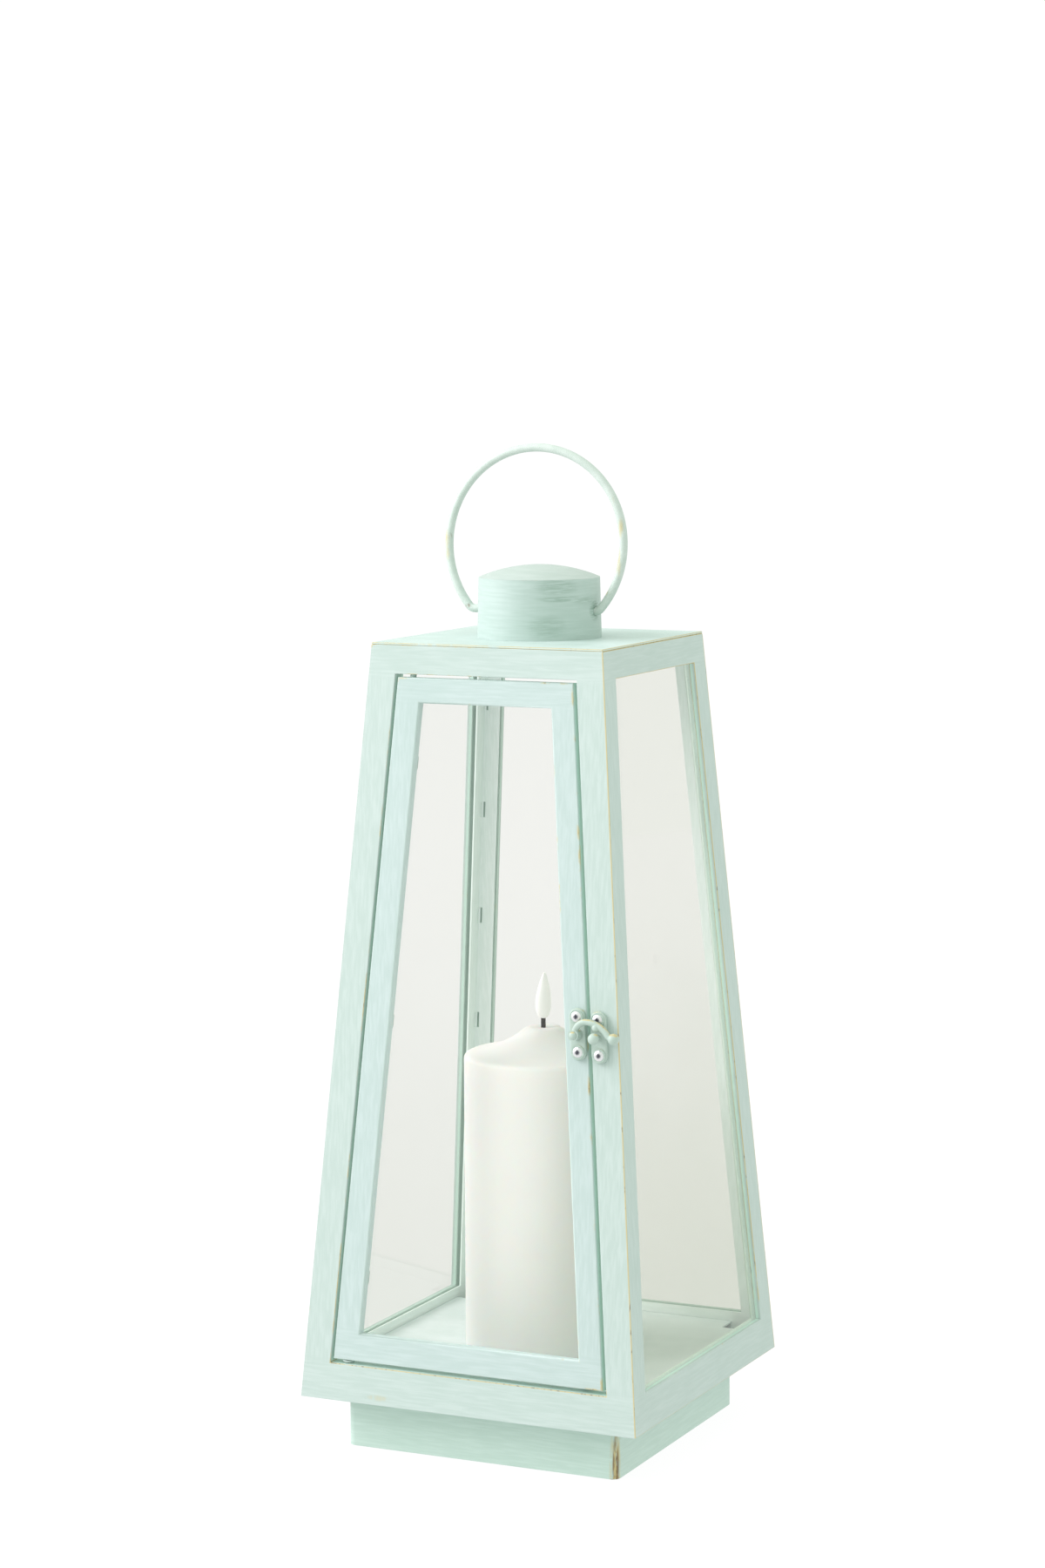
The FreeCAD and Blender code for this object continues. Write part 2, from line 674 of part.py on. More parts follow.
# ---------------------------------------------------------------- latch
def plate_frame(site):
    """Frame of the latch or catch plate on its own sheet: Y along the stile, Z outward."""
    outward = -size["door_recess"] if site == "latch" else 0.0
    flat = on_face(size[f"{site}_x"], size[f"{site}_height"], outward)
    return flat.multiply(placed(angle=math.degrees(math.atan(STILE_SLANT))))


def screw_frames(site):
    """Frames of a plate's two screws, at the face under the plate."""
    for side in (-1, 1):
        yield plate_frame(site).multiply(placed((0, side * size["screw_spacing"] / 2, 0)))


def slot_sketch(body, name, half_length, radius):
    """Round-ended slot along Y, bound to the sheet."""
    sketch = body.newObject("Sketcher::SketchObject", name)
    plane = [item for item in body.Origin.OriginFeatures if item.Role == "XY_Plane"][0]
    sketch.AttachmentSupport = [(plane, "")]
    sketch.MapMode = "FlatFace"
    reach = size["latch_length"] / 2 - size["latch_width"] / 2
    half = size["latch_width"] / 2
    upper = FreeCAD.Vector(0, reach, 0)
    lower = FreeCAD.Vector(0, -reach, 0)
    sketch.addGeometry(Part.ArcOfCircle(Part.Circle(upper, Z_AXIS, half), 0, math.pi))
    sketch.addGeometry(Part.ArcOfCircle(Part.Circle(lower, Z_AXIS, half), math.pi, 2 * math.pi))
    sketch.addGeometry(Part.LineSegment(FreeCAD.Vector(-half, reach, 0),
                                        FreeCAD.Vector(-half, -reach, 0)))
    sketch.addGeometry(Part.LineSegment(FreeCAD.Vector(half, -reach, 0),
                                        FreeCAD.Vector(half, reach, 0)))
    for first, first_end, second, second_end in ((0, 2, 2, 1), (2, 2, 1, 1), (1, 2, 3, 1),
                                                 (3, 2, 0, 1)):
        sketch.addConstraint(Sketcher.Constraint("Tangent", first, first_end, second,
                                                 second_end))
    sketch.addConstraint(Sketcher.Constraint("PointOnObject", 0, 3, -2))
    sketch.addConstraint(Sketcher.Constraint("Symmetric", 0, 3, 1, 3, -1, 1))
    spacing = sketch.addConstraint(Sketcher.Constraint("DistanceY", 1, 3, 0, 3, 2 * reach))
    sketch.setExpression(f"Constraints[{spacing}]", half_length)
    round_end = sketch.addConstraint(Sketcher.Constraint("Radius", 0, half))
    sketch.setExpression(f"Constraints[{round_end}]", radius)
    return sketch


def make_plate(site, middle_hole):
    """Cast plate with rounded rim, raised screw bosses and three holes."""
    name = f"{site}_base"
    body = doc.addObject("PartDesign::Body", name)
    outline = slot_sketch(body, f"{name}_outline", "Sizes.latch_length - Sizes.latch_width",
                          "Sizes.latch_width / 2")
    pad = body.newObject("PartDesign::Pad", f"{name}_pad")
    pad.Profile = outline
    bind(pad, Length="Sizes.latch_plate")
    outline.Visibility = False
    doc.recompute()
    rim = [f"Edge{index}" for index, edge in enumerate(pad.Shape.Edges, start=1)
           if edge.BoundBox.ZMin > size["latch_plate"] - 0.01]
    round_rim = body.newObject("PartDesign::Fillet", f"{name}_rim")
    round_rim.Base = (pad, rim)
    bind(round_rim, Radius="Sizes.latch_edge")
    for side in (-1, 1):
        boss = body.newObject("PartDesign::AdditiveCylinder", f"{name}_boss_{side + 1}")
        bind(boss, Radius="Sizes.boss_radius", Height="Sizes.latch_plate + Sizes.boss_rise",
             Placement__Base__y=f"{side} * Sizes.screw_spacing / 2")
    for side in (-1, 1):
        hole = body.newObject("PartDesign::SubtractiveCylinder", f"{name}_hole_{side + 1}")
        bind(hole, Radius="Sizes.screw_shank / 2", Height="2 * Sizes.latch_plate",
             Placement__Base__y=f"{side} * Sizes.screw_spacing / 2")
    middle = body.newObject("PartDesign::SubtractiveCylinder", f"{name}_middle")
    bind(middle, Radius=middle_hole, Height="2 * Sizes.latch_plate")
    body.Tip = middle
    body.Placement = plate_frame(site)
    finished(body, f"{site}_plate")


def make_screws(site):
    """Two pan-head screws with cross recesses, through the plate into the sheet."""
    name = f"{site}_screw"
    screws = []
    seat = "Sizes.latch_plate + Sizes.boss_rise"
    for step, frame in enumerate(screw_frames(site)):
        shank = cylinder(f"{name}_shank_{step}", "Sizes.screw_shank / 2",
                         f"Sizes.screw_length + {seat}", z="-Sizes.screw_length")
        head = cylinder(f"{name}_head_{step}", "Sizes.screw_head / 2", "Sizes.screw_rise",
                        z=seat)
        crown = sphere(f"{name}_crown_{step}", "Sizes.screw_head",
                       z=f"{seat} + Sizes.screw_rise - Sizes.screw_head")
        domed = common(f"{name}_dome_{step}", [head, crown])
        blank = fuse(f"{name}_blank_{step}", [shank, domed])
        bars = []
        for length, width in (("cross_length", "cross_width"), ("cross_width", "cross_length")):
            bars.append(box(f"{name}_{length}_{step}", f"Sizes.{length}", f"Sizes.{width}",
                            "Sizes.screw_head",
                            (f"-Sizes.{length} / 2", f"-Sizes.{width} / 2",
                             f"{seat} + Sizes.screw_rise - Sizes.cross_depth")))
        screw = cut(f"{name}_{step}", blank, fuse(f"{name}_cross_{step}", bars))
        screw.Placement = frame
        screws.append(screw)
    group = doc.addObject("Part::Compound", f"{name}_pair")
    group.Links = screws
    finished(group, f"{site}_screws")


def make_rivet():
    """Pivot rivet of the hook: domed head outside, peened tail behind the door's sheet."""
    head = ("(Sizes.hook_height + Sizes.door_recess + Sizes.hook_wire / 2"
            " + Sizes.head_gap)")
    tail_at = "-(Sizes.sheet + Sizes.rivet_tail)"
    shank = cylinder("rivet_rod", "Sizes.rivet_shank / 2",
                     f"{head} + Sizes.sheet + Sizes.rivet_tail", z=tail_at)
    tail = cylinder("rivet_peen", "Sizes.rivet_head / 2", "Sizes.rivet_tail", z=tail_at)
    disc = cylinder("rivet_disc", "Sizes.rivet_head / 2", "Sizes.rivet_crown", z=head)
    dome = sphere("rivet_sphere", "Sizes.rivet_head * 0.6",
                  z=f"{head} + Sizes.rivet_crown - Sizes.rivet_head * 0.6")
    rivet = fuse("rivet_body", [shank, tail, common("rivet_dome", [disc, dome])])
    rivet.Placement = plate_frame("latch")
    finished(rivet, "latch_rivet")


def make_stud():
    """Ball-headed catch stud, riveted through the catch plate and the frame."""
    tail_at = "-(Sizes.sheet + Sizes.rivet_tail)"
    shank = cylinder("stud_rod", "Sizes.stud_shank / 2",
                     "Sizes.stud_height + Sizes.sheet + Sizes.rivet_tail", z=tail_at)
    tail = cylinder("stud_peen", "Sizes.rivet_head / 2", "Sizes.rivet_tail", z=tail_at)
    ball = sphere("stud_knob", "Sizes.stud_ball / 2", z="Sizes.stud_height")
    stud = fuse("stud_body", [shank, tail, ball])
    stud.Placement = plate_frame("catch")
    finished(stud, "catch_stud")


def make_hook():
    """Cast hook: hub on the rivet, arched arm over the stud, rounded thumb end."""
    reach = size["catch_x"] - size["latch_x"]
    start = FreeCAD.Vector(size["root_x"], size["root_y"], 0)
    crest = FreeCAD.Vector(size["crest_x"], size["crest_y"], 0)
    dip = FreeCAD.Vector(size["dip_x"], size["dip_y"], 0)

    def level_centre(point):
        """Centre of the arc that is level at the crest and passes through a point."""
        across = point.x - crest.x
        drop = crest.y - point.y
        return FreeCAD.Vector(crest.x, crest.y - (across ** 2 + drop ** 2) / (2 * drop), 0)

    def halfway(point, centre):
        """Point of that arc midway between the crest and its other end."""
        bisector = (point - centre).normalize() + (crest - centre).normalize()
        return centre + bisector.normalize() * (crest - centre).Length

    rise_centre = level_centre(start)
    fall_centre = level_centre(dip)
    inward = (dip - fall_centre).normalize()
    curl = size["curl_radius"]
    curl_centre = dip + inward * curl
    curl_start = math.atan2(dip.y - curl_centre.y, dip.x - curl_centre.x)

    def on_curl(turn):
        angle = curl_start + math.radians(turn)
        return curl_centre + FreeCAD.Vector(math.cos(angle), math.sin(angle), 0) * curl

    path = Part.Wire([
        Part.Arc(start, halfway(start, rise_centre), crest).toShape(),
        Part.Arc(crest, halfway(dip, fall_centre), dip).toShape(),
        Part.Arc(dip, on_curl(size["curl_turn"] / 2), on_curl(size["curl_turn"])).toShape(),
    ])
    radius = size["hook_wire"] / 2
    along = FreeCAD.Vector(-(start.y - rise_centre.y), start.x - rise_centre.x, 0)
    section = Part.Wire(Part.Circle(start, along, radius).toShape())
    arm = path.makePipeShell([section], True, True)
    below = size["hook_height"] + size["door_recess"] - size["latch_plate"] - size["head_gap"]
    hub = Part.makeCylinder(size["hub_radius"], below + radius, FreeCAD.Vector(0, 0, -below))
    thumb_at = FreeCAD.Vector(size["thumb_x"], size["thumb_y"], size["thumb_lift"])
    thumb = Part.makeSphere(size["thumb_radius"], thumb_at)
    ball_y = size["catch_height"] - size["latch_height"]
    lobe_y = ball_y + size["stud_ball"] / 2 + size["lobe_gap"] + size["lobe_radius"]
    lobe = Part.makeSphere(size["lobe_radius"], FreeCAD.Vector(reach, lobe_y, 0))
    knee = Part.makeSphere(size["knee_radius"], start)
    solid = arm.fuse([hub, thumb, lobe, knee]).removeSplitter()
    bore_radius = size["rivet_shank"] / 2 + size["rivet_play"]
    bore = Part.makeCylinder(bore_radius, 2 * size["latch_length"],
                             FreeCAD.Vector(0, 0, -size["latch_length"]))
    hook = doc.addObject("Part::Feature", "hook_casting")
    hook.Shape = solid.cut(bore)
    hook.Placement = on_face(size["latch_x"], size["latch_height"], size["hook_height"])
    finished(hook, "latch_hook")


# ---------------------------------------------------------------- pillar candle
def ring_loft(name, sections):
    """Smooth turned solid through circles, each a (height, radius) pair of expressions."""
    circles = []
    for step, (height, radius) in enumerate(sections):
        circle = doc.addObject("Part::Circle", f"{name}_{step}")
        bind(circle, Radius=radius, Placement__Base__z=height)
        circles.append(circle)
    loft = doc.addObject("Part::Loft", name)
    loft.Sections = circles
    loft.Solid = True
    loft.Ruled = False
    return loft


def stand_candle(piece, label):
    """Put a candle part in place: on the floor plate, a little off the centre."""
    at = FreeCAD.Vector(size["candle_x"], 0, size["floor_height"])
    piece.Placement = FreeCAD.Placement(at, FreeCAD.Rotation()).multiply(piece.Placement)
    finished(piece, label)


def make_wax():
    radius = "Sizes.candle_radius"
    side = cylinder("wax_side", radius, "Sizes.shoulder_height")
    shoulder = "Sizes.shoulder_height"
    rise = "Sizes.mound_rise"
    mound = ring_loft("wax_mound", (
        (shoulder, radius),
        (f"{shoulder} + {rise} * 0.17", f"{radius} * 0.78"),
        (f"{shoulder} + {rise} * 0.36", f"{radius} * 0.60"),
        (f"{shoulder} + {rise} * 0.70", f"{radius} * 0.37"),
        (f"{shoulder} + {rise}", f"{radius} * 0.21"),
    ))
    bore = cylinder("wax_bore", "Sizes.bore_radius", "Sizes.bore_depth")
    channel = cylinder("wax_channel", "Sizes.wick_hole",
                       "Sizes.shoulder_height + 2 * Sizes.mound_rise")
    solid = fuse("wax_solid", [side, mound])
    stand_candle(cut("wax_shell", solid, fuse("wax_hollow", [bore, channel])), "candle_wax")


COVER_TOP = "(Sizes.core_lift + Sizes.cover_sheet)"
DECK_LOW = "(Sizes.tray_deck - Sizes.core_wall / 2)"
BOARD_TOP = "(Sizes.board_height + Sizes.board_sheet)"


def post_x(side):
    """Where a board post stands, left or right of the candle's axis."""
    return f"{side} * (Sizes.board_length / 2 - Sizes.post_inset)"


def make_core():
    """Plastic battery holder: a can open below, a deck with two cell tubes, board posts."""
    outer_radius = "(Sizes.bore_radius - Sizes.core_gap)"
    inner_radius = f"({outer_radius} - Sizes.core_wall)"
    can = cut("core_can",
              cylinder("core_outside", outer_radius, "Sizes.core_height - Sizes.core_lift",
                       z="Sizes.core_lift"),
              cylinder("core_inside", inner_radius,
                       "Sizes.core_height - Sizes.core_wall", z="0"))
    deck = cylinder("core_deck", inner_radius, "Sizes.core_wall",
                    z="Sizes.tray_deck - Sizes.core_wall / 2")
    tubes = []
    hollows = []
    for side in (-1, 1):
        x = f"{side} * Sizes.cell_offset"
        tubes.append(cylinder(f"cell_tube_{side + 1}", "Sizes.tray_radius + Sizes.tray_wall",
                              "Sizes.tray_deck - Sizes.tray_lift", x=x, z="Sizes.tray_lift"))
        hollows.append(cylinder(f"cell_space_{side + 1}", "Sizes.tray_radius",
                                f"{DECK_LOW} - Sizes.cell_floor", x=x, z="Sizes.cell_floor"))
    roof_low = "(Sizes.core_height - Sizes.core_wall)"
    posts = [cylinder(f"board_post_{side + 1}", "Sizes.post_radius",
                      f"{roof_low} - {BOARD_TOP}", x=post_x(side), z=BOARD_TOP)
             for side in (-1, 1)]
    wire_hole = cylinder("core_wire_hole", "Sizes.wick_hole", "2 * Sizes.core_wall",
                         z=roof_low)
    deck_hole = cylinder("deck_wire_hole", "Sizes.wire_hole", "2 * Sizes.core_wall",
                         y="Sizes.wire_hole_y", z=DECK_LOW)
    body = cut("core_body", fuse("core_parts", [can, deck] + tubes + posts),
               fuse("core_spaces", hollows + [wire_hole, deck_hole]))
    stand_candle(body, "candle_core")

    cover = cylinder("cover_disc", f"{inner_radius} - Sizes.cover_play", "Sizes.cover_sheet",
                     z="Sizes.core_lift")
    slot = box("cover_slot",
               "Sizes.switch_length + Sizes.switch_travel + 2 * Sizes.switch_play",
               "Sizes.switch_width + 2 * Sizes.switch_play",
               "2 * (Sizes.core_lift + Sizes.cover_sheet)",
               ("-Sizes.switch_length / 2 - Sizes.switch_play",
                "-Sizes.switch_y - Sizes.switch_width / 2 - Sizes.switch_play", "0"))
    stand_candle(cut("cover_sheet", cover, slot), "battery_cover")


def make_cells():
    """Two cells with their spring contacts, bridge strip and upper contact caps."""
    cells = []
    contacts = []
    strip_top = f"({COVER_TOP} + Sizes.contact_sheet)"
    cell_top = "(Sizes.cell_floor + Sizes.cell_length)"
    for side in (-1, 1):
        x = f"{side} * Sizes.cell_offset"
        can = cylinder(f"cell_can_{side + 1}", "Sizes.cell_radius",
                       "Sizes.cell_length - Sizes.button_height", x=x, z="Sizes.cell_floor")
        button = cylinder(f"cell_button_{side + 1}", "Sizes.button_radius",
                          "Sizes.button_height", x=x, z=f"{cell_top} - Sizes.button_height")
        cells.append(fuse(f"cell_{side + 1}", [can, button]))
        contacts.append(cylinder(f"contact_cap_{side + 1}", "Sizes.contact_radius",
                                 f"{DECK_LOW} - {cell_top}", x=x, z=cell_top))
        coil = cone(f"contact_spring_{side + 1}", "Sizes.spring_foot", "Sizes.spring_tip",
                    f"Sizes.cell_floor - {strip_top}", z=strip_top)
        contacts.append(bind(coil, Placement__Base__x=x))
    reach = "(Sizes.cell_offset + Sizes.bridge_margin)"
    contacts.append(box("contact_bridge", f"2 * {reach}", "2 * Sizes.bridge_margin",
                        "Sizes.contact_sheet", (f"-{reach}", "-Sizes.bridge_margin", COVER_TOP)))
    for name, label, pieces in (("cell_pair", "batteries", cells),
                                ("contact_set", "battery_contacts", contacts)):
        group = doc.addObject("Part::Compound", name)
        group.Links = pieces
        stand_candle(group, label)


def make_light():
    """Circuit board, the hollow wick that carries its wires, and the lamp on the wick."""
    board = box("board_sheet", "Sizes.board_length", "Sizes.board_width", "Sizes.board_sheet",
                ("-Sizes.board_length / 2", "-Sizes.board_width / 2", "Sizes.board_height"))
    screw_holes = [cylinder(f"board_hole_{side + 1}", "Sizes.post_screw",
                            "2 * Sizes.board_sheet", x=post_x(side), z="Sizes.board_height")
                   for side in (-1, 1)]
    stand_candle(cut("board", board, fuse("board_holes", screw_holes)), "circuit_board")

    lamp_foot = "(Sizes.bulb_base + Sizes.bulb_wall)"
    cord = cylinder("wick_cord", "Sizes.wick_radius", f"{lamp_foot} - {BOARD_TOP}", z=BOARD_TOP)
    bore = cylinder("wick_bore", "Sizes.wire_bore", f"{lamp_foot} - {BOARD_TOP}", z=BOARD_TOP)
    stand_candle(cut("wick_braid", cord, bore), "wick")

    straight = "(Sizes.led_length - Sizes.led_radius)"
    led = fuse("led_body", [
        cylinder("led_barrel", "Sizes.led_radius", straight, z=lamp_foot),
        sphere("led_dome", "Sizes.led_radius", z=f"{lamp_foot} + {straight}"),
    ])
    stand_candle(led, "led")


# Flame-shaped bulb: (height above its foot, radius), from the foot to the tip.
BULB_PROFILE = ((0.0, 2.3), (2.6, 3.45), (7.0, 3.9), (12.5, 3.5), (18.5, 2.1), (22.6, 0.85))


def bulb_loft(name, wall):
    """Turned flame shape, drawn in by a wall at the foot, the side and the tip."""
    last = len(BULB_PROFILE) - 1
    sections = []
    for step, (height, radius) in enumerate(BULB_PROFILE):
        drawn_in = wall if step < last else wall / 2
        raised = {0: wall, last: -wall}.get(step, 0.0)
        sections.append((f"Sizes.bulb_base + {height + raised}", radius - drawn_in))
    return ring_loft(name, sections)


def make_bulb():
    outer = bulb_loft("bulb_outside", 0.0)
    inner = bulb_loft("bulb_inside", size["bulb_wall"])
    socket = cylinder("bulb_socket", "Sizes.wick_radius", "2 * Sizes.bulb_wall",
                      z="Sizes.bulb_base")
    stand_candle(cut("bulb_glass", outer, fuse("bulb_hollow", [inner, socket])), "flame_bulb")


def make_switch():
    """Slide switch in the battery cover: a thumb block under a wider guide flange."""
    foot = "(Sizes.core_lift + Sizes.switch_play)"
    flange_low = f"({COVER_TOP} + Sizes.switch_play)"
    margin = "(Sizes.switch_travel + Sizes.flange_margin)"
    block = box("switch_block", "Sizes.switch_length", "Sizes.switch_width",
                f"{flange_low} - {foot}",
                ("-Sizes.switch_length / 2", "-Sizes.switch_y - Sizes.switch_width / 2", foot))
    flange = box("switch_flange", f"Sizes.switch_length + {margin} + Sizes.flange_margin",
                 "Sizes.switch_width + 2 * Sizes.flange_margin", "Sizes.switch_flange",
                 (f"-Sizes.switch_length / 2 - {margin}",
                  "-Sizes.switch_y - Sizes.switch_width / 2 - Sizes.flange_margin", flange_low))
    stand_candle(fuse("switch_body", [block, flange]), "switch_slider")


# ---------------------------------------------------------------- assembly
make_plinth()
make_floor()
make_front()
make_sides()
make_top()
make_chimney()
make_handle()
make_door()
make_hinge_pins()
make_plate("latch", "Sizes.rivet_shank / 2")
make_plate("catch", "Sizes.stud_shank / 2")
make_screws("latch")
make_screws("catch")
make_rivet()
make_stud()
make_hook()
make_wax()
make_core()
make_cells()
make_light()
make_bulb()
make_switch()
doc.recompute()

for item in doc.Objects:
    if "Invalid" in item.State or "Error" in item.State:
        raise RuntimeError(f"{item.Name} failed: {item.State}")
for node in nodes:
    if node.Shape.isNull() or not node.Shape.isValid():
        raise RuntimeError(f"{node.Label} has no valid shape")

os.makedirs("parts", exist_ok=True)
for node in nodes:
    node.Shape.exportStep(f"parts/{node.Label}.step")
    print(f"{node.Label:18s} solids {len(node.Shape.Solids)}  volume {node.Shape.Volume:10.1f}")
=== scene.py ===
import math

import bmesh
import bpy
from mathutils import Matrix, Vector


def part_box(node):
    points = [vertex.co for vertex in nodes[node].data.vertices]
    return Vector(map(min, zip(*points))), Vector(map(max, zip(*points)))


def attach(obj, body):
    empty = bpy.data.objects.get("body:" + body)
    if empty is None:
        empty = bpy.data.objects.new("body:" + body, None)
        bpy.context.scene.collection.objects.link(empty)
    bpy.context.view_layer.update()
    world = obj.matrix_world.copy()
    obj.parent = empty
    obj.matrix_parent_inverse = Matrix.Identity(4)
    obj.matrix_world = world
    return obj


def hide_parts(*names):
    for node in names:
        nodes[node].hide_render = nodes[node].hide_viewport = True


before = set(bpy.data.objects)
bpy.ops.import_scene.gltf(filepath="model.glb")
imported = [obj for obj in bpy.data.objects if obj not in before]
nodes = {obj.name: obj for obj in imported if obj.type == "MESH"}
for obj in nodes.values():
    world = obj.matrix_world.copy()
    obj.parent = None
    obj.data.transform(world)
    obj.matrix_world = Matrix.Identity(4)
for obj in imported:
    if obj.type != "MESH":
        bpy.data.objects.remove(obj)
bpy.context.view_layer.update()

MM = 0.001
scene = bpy.context.scene

# ---------------------------------------------------------------- camera and light
AZIMUTH = math.radians(25.276)
ELEVATION = math.radians(6.680)
ROLL = math.radians(-0.312)
DISTANCE = 1.829
AIM_HEIGHT = 0.3184
AIM_SHIFT = -0.00864
LENS = 86.63
FILM = 36
FAR = 50
MIDDLE = Vector((0, 0, 0.22))


def add_camera():
    right = Vector((math.cos(AZIMUTH), math.sin(AZIMUTH), 0))
    forward = Vector((-math.sin(AZIMUTH) * math.cos(ELEVATION),
                      math.cos(AZIMUTH) * math.cos(ELEVATION), -math.sin(ELEVATION)))
    up = right.cross(forward)
    side = right * math.cos(ROLL) + up * math.sin(ROLL)
    top = up * math.cos(ROLL) - right * math.sin(ROLL)
    data = bpy.data.cameras.new("camera")
    data.lens = LENS
    data.sensor_width = FILM
    data.clip_end = FAR
    camera = bpy.data.objects.new("camera", data)
    scene.collection.objects.link(camera)
    eye = Vector((0, 0, AIM_HEIGHT)) + right * AIM_SHIFT - forward * DISTANCE
    turn = Matrix((side, top, -forward)).transposed()
    camera.matrix_world = Matrix.Translation(eye) @ turn.to_4x4()
    scene.camera = camera


def add_softbox(name, azimuth, elevation, distance, width, height, power, colour):
    """Rectangular soft light that looks at the middle of the lantern."""
    data = bpy.data.lights.new(name, "AREA")
    data.shape = "RECTANGLE"
    data.size = width
    data.size_y = height
    data.energy = power
    data.color = colour
    light = bpy.data.objects.new(name, data)
    scene.collection.objects.link(light)
    a, e = math.radians(azimuth), math.radians(elevation)
    away = Vector((math.sin(a) * math.cos(e), -math.cos(a) * math.cos(e), math.sin(e)))
    light.location = MIDDLE + away * distance
    light.rotation_euler = away.to_track_quat("Z", "Y").to_euler()


CABIN_LIGHT_SIZE = (0.085, 0.18)
CABIN_LIGHT_PLACE = (0.014, -0.070, 0.140)
CABIN_LIGHT_BACK = Vector((0.10, -1.0, 0.0))


def add_cabin_light():
    """Small soft light in the plane of the door that brings out the candle."""
    data = bpy.data.lights.new("cabin_front", "AREA")
    data.shape = "RECTANGLE"
    data.size, data.size_y = CABIN_LIGHT_SIZE
    data.energy = 0.015
    light = bpy.data.objects.new("cabin_front", data)
    scene.collection.objects.link(light)
    light.location = CABIN_LIGHT_PLACE
    light.rotation_euler = CABIN_LIGHT_BACK.to_track_quat("Z", "Y").to_euler()
    light.visible_camera = False
    light.visible_glossy = False


def add_world():
    """Even pale surroundings: white where the camera sees them, softer as a light."""
    world = bpy.data.worlds.new("studio")
    scene.world = world
    world.use_nodes = True
    tree = world.node_tree
    tree.nodes.clear()
    out = tree.nodes.new("ShaderNodeOutputWorld")
    seen = tree.nodes.new("ShaderNodeBackground")
    seen.inputs["Color"].default_value = (1, 1, 1, 1)
    seen.inputs["Strength"].default_value = 1.02
    lit = tree.nodes.new("ShaderNodeBackground")
    lit.inputs["Color"].default_value = (0.955, 1.0, 0.935, 1)
    lit.inputs["Strength"].default_value = 1.02
    path = tree.nodes.new("ShaderNodeLightPath")
    mix = tree.nodes.new("ShaderNodeMixShader")
    tree.links.new(path.outputs["Is Camera Ray"], mix.inputs[0])
    tree.links.new(lit.outputs[0], mix.inputs[1])
    tree.links.new(seen.outputs[0], mix.inputs[2])
    tree.links.new(mix.outputs[0], out.inputs["Surface"])


# ---------------------------------------------------------------- material building
class Field:
    """A number that varies over a surface, with arithmetic that makes Math nodes."""

    def __init__(self, graph, socket):
        self.graph = graph
        self.socket = socket

    def op(self, kind, *others, clamp=False):
        node = self.graph.nodes.new("ShaderNodeMath")
        node.operation = kind
        node.use_clamp = clamp
        for index, value in enumerate((self,) + others):
            self.graph.feed(node.inputs[index], value)
        return Field(self.graph, node.outputs[0])

    def __add__(self, other):
        return self.op("ADD", other)

    def __sub__(self, other):
        return self.op("SUBTRACT", other)

    def __mul__(self, other):
        return self.op("MULTIPLY", other)

    def __rmul__(self, other):
        return self.op("MULTIPLY", other)

    def __neg__(self):
        return self.op("MULTIPLY", -1.0)

    def size(self):
        return self.op("ABSOLUTE")

    def least(self, other):
        return self.op("MINIMUM", other)

    def most(self, other):
        return self.op("MAXIMUM", other)

    def power(self, other):
        return self.op("POWER", other)

    def step(self, low, high):
        """Smooth rise from 0 at low to 1 at high; low may be above high for a fall."""
        node = self.graph.nodes.new("ShaderNodeMapRange")
        node.interpolation_type = "SMOOTHSTEP"
        self.graph.feed(node.inputs["Value"], self)
        first, last = (0.0, 1.0) if low < high else (1.0, 0.0)
        node.inputs["From Min"].default_value = min(low, high)
        node.inputs["From Max"].default_value = max(low, high)
        node.inputs["To Min"].default_value = first
        node.inputs["To Max"].default_value = last
        return Field(self.graph, node.outputs["Result"])


